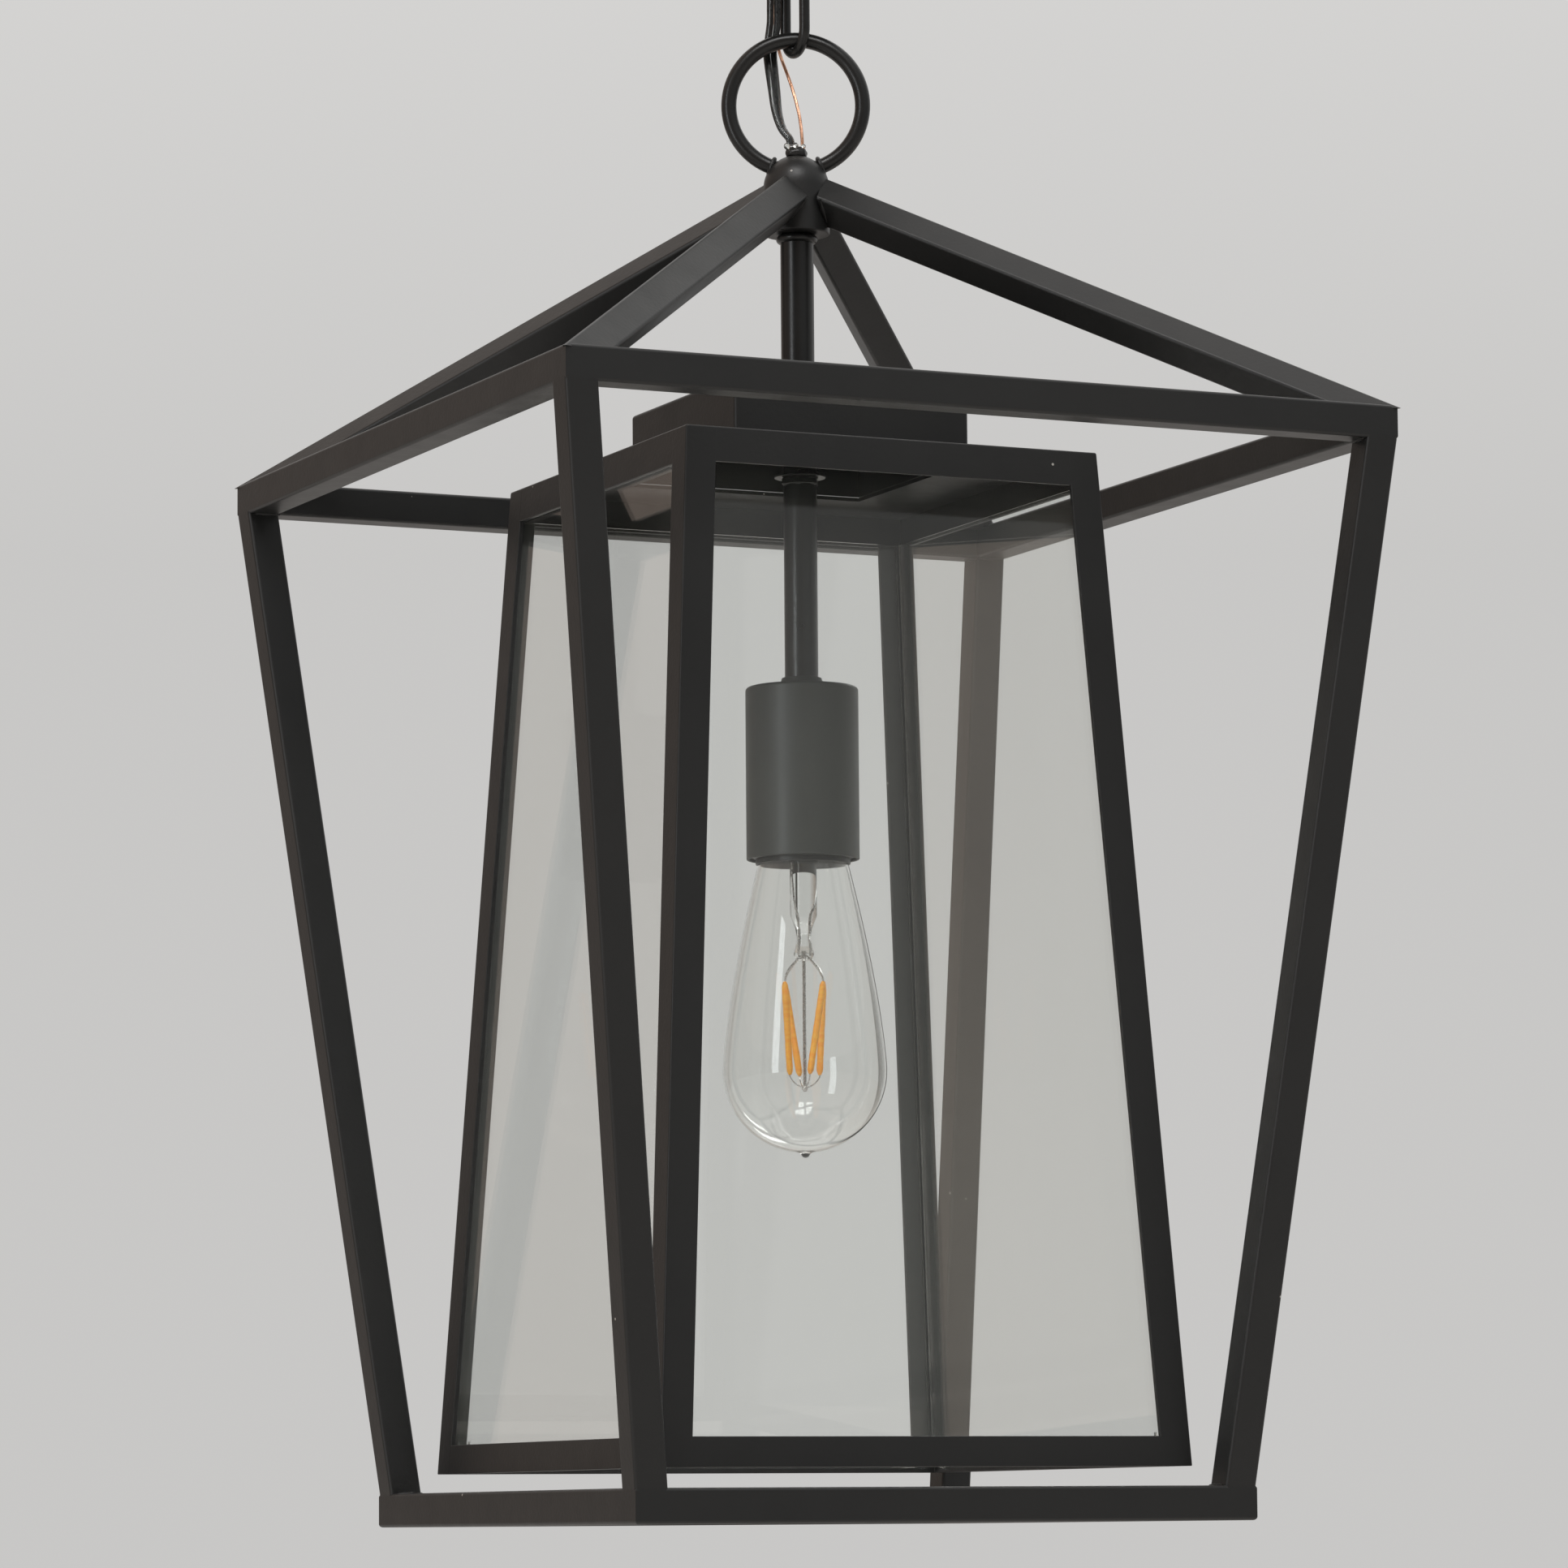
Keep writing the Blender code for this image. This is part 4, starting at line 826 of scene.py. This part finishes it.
def stem():
    bore, edge = STEM_RADIUS - STEM_WALL, 0.0003
    for name in ("stem_upper", "stem_lower"):
        low, high = (corner.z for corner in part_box(name))
        low, high = low - NEAR_TIGHT, high + NEAR_TIGHT
        corners = [
            (STEM_RADIUS, high, edge), (STEM_RADIUS, low, edge), (bore, low, NEAR_TIGHT), (bore, high, NEAR_TIGHT),
        ]
        fitted(f"tube_{name}", eased(name, corners), "lantern", "stem_coat", name, slot="black_coat")
    low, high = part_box("hub_collar")
    middle, swell = (low.z + high.z) / 2, (high.z - low.z) / 2
    flat = (high.x - STEM_RADIUS) / swell
    profile = [(STEM_RADIUS + x * flat, middle + z) for x, z in arc(0, 0, swell, 90, -90, 12)]
    collar = turned("collar", profile)
    fitted("stem_collar", collar, "lantern", "stem_coat", "hub_collar", slot="black_coat")
    low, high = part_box("holder_collar")
    flare, foot = 0.0006, low.z - 0.0004
    corners = [
        (STEM_RADIUS, high.z, 0), (high.x - flare, high.z, 0.0004), (high.x, low.z + 0.0010, flare),
        (high.x + flare, foot, NEAR_TIGHT), (STEM_RADIUS, foot, 0),
    ]
    fitted("sleeve_collar", eased("collar", corners), "lantern", "sleeve_coat", "holder_collar")


def box_nut():
    """The six-sided nut under the lantern's ceiling, chamfered, with a washer above it."""
    low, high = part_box("box_nut")
    corner, edge, ledge, thick = 0.90, 0.0006, 0.0022, 0.0009
    bore = STEM_RADIUS + NEAR_TIGHT
    rows = [circle(Z * low.z, X, Y, bore, 6)]
    for z, share in ((low.z, corner), (low.z + edge, 1), (high.z - edge, 1), (high.z, corner)):
        rows.append(circle(Z * z, X, Y, high.x * share, 6))
    nut = skinned("nut", [*rows, circle(Z * high.z, X, Y, bore, 6)], round_rows=True)
    top, foot, rim = high.z + thick, high.z + 0.0001, high.x + ledge
    washer = eased("washer", [
        (bore, top, 0.0001), (rim, top, NEAR_TIGHT), (rim, foot, NEAR_TIGHT), (bore, foot, 0.0001),
    ])
    fitted("stem_nut", merged("stem_nut", [nut, washer]), "lantern", "stem_coat", "box_nut", slot="zinc_steel")


def lampholder():
    low, high = holder_low.z, holder_high.z
    radius, wall, hole = holder_high.x, SHEET, STEM_RADIUS - STEM_WALL
    corners = [
        (hole, high, 0), (radius, high, 0.0014), (radius, low, 0.0004), (radius - wall, low, 0.0003),
        (radius - wall, high - wall, 0.0008), (hole, high - wall, 0),
    ]
    fitted("holder_sleeve", eased("sleeve", corners, 96), "lantern", "sleeve_coat", "lampholder")
    foot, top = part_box("socket_insert")
    top, body, foot = top.z, top.x, foot.z
    lip, throat, bore, wire_way, edge = 0.01835, 0.0175, 0.0150, 0.002, 0.0003
    roof = top - 0.010
    corners = [
        (wire_way, top, edge), (body, top, 0.0006), (body, low + 0.0012, edge), (lip, low + 0.0004, edge),
        (lip, foot, edge), (throat, foot, edge), (throat, low + 0.006, 0.0008), (bore, low + 0.008, 0.0008),
        (bore, roof, 0.0005), (wire_way, roof, edge),
    ]
    fitted("holder_insert", eased("insert", corners, 72), "lantern", "black_bush", "socket_insert")
    fitted("holder_shell", socket_shell(), "lantern", "brass", "socket_shell")


# ---- The lamp ----

LAMP_NECK_RADIUS = 0.0179
LAMP_NECK = INSERT_FOOT - 0.0012
LAMP_WAIST = lamp_low.z + LAMP_RADIUS
LAMP_CONE = LAMP_NECK - LAMP_WAIST
LAMP_CONE_EASE = 1.4
LAMP_WALL = 0.0007
LAMP_STEM_RADIUS = 0.0052
FILAMENT_TOP = LAMP_NECK - 0.0447
FILAMENT_FOOT = FILAMENT_TOP - 0.0355
FILAMENT_TOP_SPREAD, FILAMENT_FOOT_SPREAD = 0.0105, 0.0060
FILAMENT_TURNS = (20, 110, 200, 290)
FILAMENT_TWIST = -26
FILAMENT_RADIUS = 0.0013
BUTTON = FILAMENT_TOP + 0.010
THREAD_DEPTH = 0.0008
THREAD_PITCH = 0.0036
# Turned profiles: the radius, and the height above the lamp's foot, its button or its tip.
PIP = ((0.0030, 0.0001), (0.0019, -0.0005), (0.0012, -0.0016), (0, -0.0021))
PINCH = (
    (LAMP_STEM_RADIUS, 0.016), (0.0032, 0.011), (0.0026, 0.007), (0.0034, 0.003), (0.0040, 0.001), (0.0030, -0.001),
    (0, -0.0016),
)
CAP_TIP = ((0, 0), (0.0035, -0.0001), (0.0045, -0.0007), (0.0050, -0.0013), (0.0098, -0.0030), (0.0112, -0.0036))


def lamp_radius(z):
    """The lamp's radius at a height: a long smooth cone from the neck down to the waist."""
    t = min(max((z - LAMP_WAIST) / LAMP_CONE, 0), 1)
    return LAMP_RADIUS - (LAMP_RADIUS - LAMP_NECK_RADIUS) * t**LAMP_CONE_EASE


def lamp_envelope():
    """The blown glass, with the sealed pip at its foot and its neck up inside the cap."""
    cone = 40
    neck = cap_high.x - 0.0016
    outer = [(neck, cap_low.z + 0.006), (neck, cap_low.z - 0.0006), (LAMP_NECK_RADIUS - 0.0010, LAMP_NECK + 0.0032)]
    outer += [(lamp_radius(z), z) for z in (LAMP_NECK - LAMP_CONE * i / cone for i in range(cone + 1))]
    ball = arc(0, LAMP_WAIST, LAMP_RADIUS, 0, -90, 30)[1:-2]
    pip = [(r, lamp_low.z + z) for r, z in PIP]
    inner = [(r - LAMP_WALL, z) for r, z in outer] + arc(0, LAMP_WAIST, LAMP_RADIUS - LAMP_WALL, 0, -90, 30)[1:]
    inner[-1] = (0, LAMP_WAIST - LAMP_RADIUS + LAMP_WALL)
    return turned("envelope", [*inner[::-1], *outer, *ball, *pip], 72, closed=False)


def lamp_stem():
    """The glass stem: a flare at the neck, a narrow tube, the pinch and the button that holds the wires."""
    flare = cap_low.z + 0.003
    profile = [(0, flare), (cap_high.x - 0.0040, flare), (0.0075, flare - 0.006), (LAMP_STEM_RADIUS, flare - 0.014)]
    profile += [(r, BUTTON + z) for r, z in PINCH]
    return turned("stem", profile, 40, closed=False)


def lamp_wires():
    """The two leads up the stem, the four hooks to the filaments' heads, and the ties at their feet."""
    wire, fine, knot = 0.00035, 0.00028, 0.0012
    foot_hub = Z * (FILAMENT_FOOT - 0.0052)
    meshes = [tube("spine", line(Z * (BUTTON + 0.002), foot_hub - Z * knot, 12), 0.0007, 8)]
    for side in (-1, 1):
        points = [
            Vector((side * 0.0018, 0, BUTTON + 0.001)), Vector((side * 0.0017, 0, BUTTON + 0.015)),
            Vector((side * 0.0032, 0, BUTTON + 0.022)), Vector((side * 0.0058, 0, cap_low.z + 0.001)),
        ]
        meshes.append(tube("lead", smooth_route(points, 0.002), wire, 8))
    for way, heel_way, head, heel in filament_lines():
        hook = [
            Z * (BUTTON + 0.001) + way * 0.001, way * 0.0042 + Z * (FILAMENT_TOP + 0.0085),
            way * 0.0090 + Z * (FILAMENT_TOP + 0.0042), head + Z * 0.0006, head - Z * 0.0012,
        ]
        tie = [
            heel + Z * 0.0010, heel - Z * 0.0008, heel_way * 0.0036 + Z * (FILAMENT_FOOT - 0.0036), foot_hub,
        ]
        meshes.append(tube("hook", smooth_route(hook, 0.0012), fine, 8))
        meshes.append(tube("tie", smooth_route(tie, 0.0010), fine, 8))
    top, foot = foot_hub.z + knot, foot_hub.z - knot
    profile = [(0, top), *arc(0, foot_hub.z, knot, 75, -75, 6), (0, foot)]
    meshes.append(turned("foot_bead", profile, 16, closed=False))
    return merged("lamp_wires", meshes)


def filament_lines():
    """Each filament's way out from the middle, its head and its heel: they lean inwards as they go down."""
    for angle in FILAMENT_TURNS:
        head_way, heel_way = (
            Vector((cos(radians(turn)), sin(radians(turn)), 0)) for turn in (angle, angle + FILAMENT_TWIST)
        )
        head = head_way * FILAMENT_TOP_SPREAD + Z * FILAMENT_TOP
        yield head_way, heel_way, head, heel_way * FILAMENT_FOOT_SPREAD + Z * FILAMENT_FOOT


def lamp_filaments():
    """Four rods of coated chips, each a little flattened and lumpy, with rounded ends."""
    meshes = []
    for i, (_, _, head, heel) in enumerate(filament_lines()):
        rng = random.Random(80 + i)
        lumps = [rng.uniform(0.94, 1.05) for _ in range(25)]

        def size(t):
            return FILAMENT_RADIUS * lumps[round(t * 24)] * min(1, 0.45 + 12 * min(t, 1 - t))

        meshes.append(skinned("rod", tube_rows(line(head, heel, 25), size, 12)))
    return merged("filaments", meshes)


def thread_wave(z, angle):
    """The depth of a rolled thread at a height and an angle, from 0 in the root to 1 on the crest."""
    return 0.5 + 0.5 * cos(2 * pi * z / THREAD_PITCH - angle)


def threaded(name, radius, low, high, above, below_it, outward=1):
    """A rolled thread round the axis between two heights, with plain profiles above it and below it."""
    steps = 72
    heights = [high - (high - low) * i / 48 for i in range(49)]
    rows = []
    for i in range(steps):
        angle = 2 * pi * i / steps
        profile = list(above)
        for z in heights:
            fade = min(1, (high - z) / THREAD_PITCH, (z - low) / THREAD_PITCH)
            depth = THREAD_DEPTH * (1 - fade * thread_wave(z, angle))
            profile.append((radius - outward * depth, z))
        profile += below_it
        rows.append([Vector((r * cos(angle), r * sin(angle), z)) for r, z in profile])
    return skinned(name, rows, round_rows=True, round_points=outward == -1, caps=False)


def lamp_cap():
    """The screw cap, with its glass insulator and the solder contact on top."""
    low, high, radius = cap_low.z, cap_high.z, cap_high.x
    shoulder = high - 0.0045
    inner, ceiling = radius - 0.0013, shoulder - 0.001
    above = [(r, high + z) for r, z in CAP_TIP]
    under = [(radius - THREAD_DEPTH, low), (inner, low), (inner, ceiling), (0, ceiling)]
    return threaded("cap", radius, low + 0.0035, shoulder, above, under)


def socket_shell():
    low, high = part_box("socket_shell")
    wall = 0.0006
    outer = [(high.x, low.z), (high.x, high.z)]
    return threaded("shell", high.x - wall, low.z, high.z, [], outer, outward=-1)


def lamp():
    fitted("lamp_envelope", lamp_envelope(), "bulb", "lamp_glass", "bulb_glass")
    fitted("lamp_stem", lamp_stem(), "bulb", "lamp_glass")
    fitted("lamp_wires", lamp_wires(), "bulb", "lead_wire", slot="cap_metal")
    fitted("lamp_filaments", lamp_filaments(), "bulb", "filament_amber", "bulb_filaments")
    fitted("lamp_cap", lamp_cap(), "bulb", "cap_metal", "bulb_cap")


# ---- What hangs the lantern ----


def rose_cover():
    low, high = rose_low, rose_high
    edge, wall, hole, fine = 0.006, 0.0014, 0.0036, 0.0003
    corners = [
        (high.x - wall, high.z, fine), (high.x, high.z, fine), (high.x, low.z, edge), (hole, low.z, 0.0004),
        (hole, low.z + wall, fine), (high.x - wall, low.z + wall, edge - wall),
    ]
    fitted("rose_cover", eased("rose", corners, 128, 8), "ceiling", "black_coat", "ceiling_rose")


def rose_eye():
    """The eye, with its neck and its threaded shank as one turned piece."""
    eye_centre = eye_low.z + EYE_WIRE / 2 + EYE_RADIUS
    eye = tube("eye", circle(Z * eye_centre, X, Z, EYE_RADIUS, 72), EYE_WIRE / 2, 16, closed=True)
    top = eye_centre + EYE_RADIUS
    profile = [(0, eye_high.z), (0.0026, eye_high.z), (0.0030, eye_high.z - 0.0005)]
    profile += [(0.0030, top + 0.0028), (0.0036, top + 0.0010), (0.0042, top - 0.0015), (0, top - 0.0015)]
    shank = turned("shank", profile, 32, closed=False)
    eye = merged("rose_eye", [eye, shank])
    fitted("rose_eye", eye, "ceiling", "stem_coat", "canopy_loop", slot="black_coat")


def rose_nut():
    """The round nut under the rose, its rim ridged for the fingers."""
    low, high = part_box("loop_nut")
    points, ridge, hole, top_edge, foot_edge = 96, 0.00035, 0.0033, 0.0004, 0.0012
    rows = [circle(Z * high.z, X, Y, hole, points)]
    edges = ((high.z, top_edge), (high.z - top_edge, 0), (low.z + foot_edge, 0), (low.z, foot_edge))
    for z, inset in edges:
        turn = circle(Z * z, X, Y, 1, points)
        rims = [high.x - inset - ridge * (i % 2) for i in range(points)]
        rows.append([Vector((way.x * rim, way.y * rim, z)) for way, rim in zip(turn, rims)])
    rows.append(circle(Z * low.z, X, Y, hole, points))
    nut = skinned("loop_nut", rows, round_rows=True)
    fitted("rose_nut", nut, "ceiling", "stem_coat", "loop_nut", slot="black_coat")


def hanging_link():
    """The long chain link: two half rounds and the straight sides between them."""
    half = LINK_WIRE / 2
    bend, turns = link_high.y - half, 28
    ends = arc(0, link_high.z - half - bend, bend, 0, 180, turns)
    ends += arc(0, link_low.z + half + bend, bend, 180, 360, turns)
    path = [Vector((0, y, z)) for y, z in ends]
    straight = line(path[-1], path[0], 16)[1:-1]
    left = line(path[turns], path[turns + 1], 16)[1:-1]
    path = path[:turns + 1] + left + path[turns + 1:] + straight
    link = tube("link", path, half, 18, closed=True)
    fitted("hanging_link", link, "link", "stem_coat", "chain_link", slot="black_coat")


def rose_bush():
    low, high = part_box("rose_grommet")
    middle = (low + high) / 2
    rim, flange, inside = (high.x - low.x) / 2, low.z + 0.0020, 5
    neck = rim - 0.0023
    corners = [
        (0, high.z, 0), (neck, high.z, 0.0004), (neck, flange, 0.0002), (rim, flange, 0.0003), (rim, low.z, 0.0009),
        (0, low.z, 0),
    ]
    profile = [(0, high.z), *eased_profile(corners)[inside:-inside], (0, low.z)]
    bush = turned("bush", profile, 48, closed=False)
    bush.transform(Matrix.Translation((middle.x, middle.y, 0)))
    fitted("rose_bush", bush, "ceiling", "black_bush", "rose_grommet")


GLUE_DROPS = (  # along the ring, in front of it, radius
    (-0.0036, 0.0022, 0.0013), (0.0030, 0.0020, 0.0010), (-0.0002, 0.0034, 0.0011),
)


def hub_bush():
    """The soft bush on the dome, squeezed out of shape, with a run of clear glue round the cords."""
    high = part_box("hub_grommet")[1]
    skirt = DOME_TOP + 0.0008
    shell = []
    for i in range(13):
        angle = radians(-25 + 115 * i / 12)
        shell.append((high.x * cos(angle), skirt + (high.z - skirt) * sin(angle)))
    bush = turned("bush", [(0, high.z), *shell[::-1][1:], (0, DOME_TOP - 0.0006)], 40, closed=False)
    for vertex in bush.vertices:
        lump = noise.noise(vertex.co * 420)
        vertex.co += Vector((vertex.co.x, vertex.co.y, 0)) * 0.16 * lump + Z * 0.0003 * lump
    fitted("hub_bush", bush, "lantern", "black_bush", "hub_grommet")
    drops = []
    for i, (along, front, size) in enumerate(GLUE_DROPS):
        drop = turned("drop", [(0, size), *arc(0, 0, size, 75, -75, 8), (0, -size)], 20, closed=False)
        for vertex in drop.vertices:
            vertex.co *= 1 + 0.25 * noise.noise(vertex.co * 600 + X * i)
        drop.transform(Matrix.Translation(beside_ring(along, front, high.z - 0.0004)))
        drops.append(drop)
    fitted("hub_glue", merged("hub_glue", drops), "lantern", "clear_glue", slot="flex_clear")


# ---- The cords ----

FLEX_WIDTH, FLEX_DEPTH = 0.0056, 0.0031
CORE_RADIUS = 0.00122
CORE_GAP = 0.00012
EARTH_DIAMETER = 0.0013
SEAM = -0.06135

# The routes that the frame's cords follow: along the ring, in front of it, and down from the ceiling.
FLEX_LOWER_ROUTE = [
    (-0.0022, 0.0000, -0.1228), (-0.0024, 0.0000, -0.1205), (-0.0054, -0.0010, -0.1160),
    (-0.0074, -0.0024, -0.1090), (-0.0084, -0.0042, -0.1000), (-0.0094, -0.0058, -0.0910),
    (-0.0099, -0.0068, -0.0845), (-0.0092, -0.0066, -0.0785), (-0.0084, -0.0060, -0.0725),
    (-0.0083, -0.0054, -0.0660), (-0.0083, -0.0054, -0.0616),
]
FLEX_UPPER_ROUTE = [
    (-0.0083, -0.0054, -0.0611), (-0.0083, -0.0054, -0.0575), (-0.0106, -0.0070, -0.0500),
    (-0.0140, -0.0088, -0.0430), (-0.0190, -0.0104, -0.0370), (-0.0238, -0.0113, -0.0334),
    (-0.0240, -0.0114, -0.0308),
]
EARTH_LOWER_ROUTE = [
    (0.0024, -0.0004, -0.1228), (0.0024, -0.0004, -0.1200), (0.0016, -0.0018, -0.1120),
    (0.0002, -0.0034, -0.1050), (-0.0016, -0.0056, -0.0980), (-0.0036, -0.0084, -0.0915),
    (-0.0054, -0.0108, -0.0860), (-0.0069, -0.0118, -0.0800), (-0.0078, -0.0114, -0.0730),
    (-0.0082, -0.0102, -0.0660), (-0.0082, -0.0102, -0.0616),
]
EARTH_UPPER_ROUTE = [
    (-0.0082, -0.0102, -0.0611), (-0.0082, -0.0102, -0.0575), (-0.0102, -0.0128, -0.0500),
    (-0.0128, -0.0148, -0.0430), (-0.0160, -0.0158, -0.0370), (-0.0190, -0.0150, -0.0334),
    (-0.0192, -0.0148, -0.0308),
]


def smooth_route(route, step):
    """Points at about the step along a smooth curve through the route."""
    ends = [2 * route[0] - route[1], *route, 2 * route[-1] - route[-2]]
    points = []
    for before, here, there, after in zip(ends, ends[1:], ends[2:], ends[3:]):
        count = max(1, round((there - here).length / step))
        for i in range(count):
            t = i / count
            a = 2 * here
            b = (there - before) * t
            c = (2 * before - 5 * here + 4 * there - after) * t * t
            d = (3 * here - 3 * there + after - before) * t * t * t
            points.append((a + b + c + d) / 2)
    return [*points, route[-1]]


def cord_path(route, seam_index):
    """The cord's middle line, with its end at the seam brought up to the other cord's."""
    points = smooth_route([beside_ring(*spot) for spot in route], 0.0012)
    points[seam_index].z = SEAM
    return points


def twisted_rows(points, outline, turns):
    """A cross-section carried along a path, its width set along the ring and then twisted by turns(0 to 1)."""
    rows = []
    normal = beside_ring(1, 0, 0)
    for i, point in enumerate(points):
        way = (points[min(i + 1, len(points) - 1)] - points[max(i - 1, 0)]).normalized()
        normal = (normal - way * normal.dot(way)).normalized()
        side = way.cross(normal)
        angle = turns(i / (len(points) - 1))
        wide = normal * cos(angle) + side * sin(angle)
        rows.append([point + wide * a + way.cross(wide) * b for a, b in outline])
    return rows


def oval(width, depth, count=28):
    return [(width / 2 * cos(2 * pi * i / count), depth / 2 * sin(2 * pi * i / count)) for i in range(count)]


def strands(radius):
    """The outline of a stranded wire."""
    outline = []
    for i in range(42):
        angle = 2 * pi * i / 42
        reach = radius * (0.86 + 0.14 * abs(cos(7 * angle / 2)))
        outline.append((reach * cos(angle), reach * sin(angle)))
    return outline


def cord_piece(name, mesh, material, slot, bodies, start, end, *nodes):
    """A cord's piece, its transform baked in. The bodies are not used: it does not bend between them."""
    piece = placed(name, mesh)
    coat(piece, material)
    if nodes:
        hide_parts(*nodes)
    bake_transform(piece)
    return piece


def flex(name, route, seam_index, bodies, turns, start, end):
    """A length of the mains flex: two grey cores side by side in a clear sheath."""
    points = cord_path(route, seam_index)
    sheath = cord_piece(
        name, skinned(name, twisted_rows(points, oval(FLEX_WIDTH, FLEX_DEPTH), turns)),
        "flex_clear", "flex_clear", bodies, start, end, name.replace("mains_", ""),
    )
    cores = []
    for side in (-1, 1):
        aside = side * (CORE_RADIUS + CORE_GAP / 2)
        outline = [(a + aside, b) for a, b in oval(2 * CORE_RADIUS, 2 * CORE_RADIUS, 16)]
        cores.append(skinned("core", twisted_rows(points, outline, turns)))
    inside = cord_piece(f"{name}_cores", merged("cores", cores), "core_grey", "flex_clear", bodies, start, end)


def earth(name, route, seam_index, bodies, start, end):
    """A length of the bare earth wire, of fine copper strands."""
    points = cord_path(route, seam_index)
    wire = cord_piece(
        name, skinned(name, twisted_rows(points, strands(EARTH_DIAMETER / 2), lambda t: 9 * t)),
        "bare_copper", "bare_copper", bodies, start, end, name.replace("wire_", ""),
    )


def cords():
    low_bend = (beside_ring(0, 0, -0.1140), beside_ring(0, 0, -0.0700))
    high_bend = (beside_ring(0, 0, -0.0600), beside_ring(0, 0, -0.0380))
    flex("mains_flex_lower", FLEX_LOWER_ROUTE, -1, ("lantern", "link"), lambda t: 1.35 * (1 - t) ** 1.5, *low_bend)
    flex("mains_flex_upper", FLEX_UPPER_ROUTE, 0, ("link", "ceiling"), lambda t: 0.3 * t * t, *high_bend)
    earth("wire_earth_lower", EARTH_LOWER_ROUTE, -1, ("lantern", "link"), *low_bend)
    earth("wire_earth_upper", EARTH_UPPER_ROUTE, 0, ("link", "ceiling"), *high_bend)


# ---- The nodes whose shape stays ----


def kept_nodes():
    materials = {
        "mounting_strap": "zinc_steel", "terminal_block": "white_plastic", "ceiling_plate": "black_coat",
        "socket_contact": "brass",
    }
    for name, material in materials.items():
        coat(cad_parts[name], material)


make_materials()
make_camera()
cords()
make_light()
make_floor()
outer_cage()
inner_frame()
canopy_box()
hub_and_ring()
stem()
box_nut()
lampholder()
lamp()
rose_cover()
rose_eye()
rose_nut()
hanging_link()
rose_bush()
hub_bush()
kept_nodes()

bpy.context.view_layer.update()
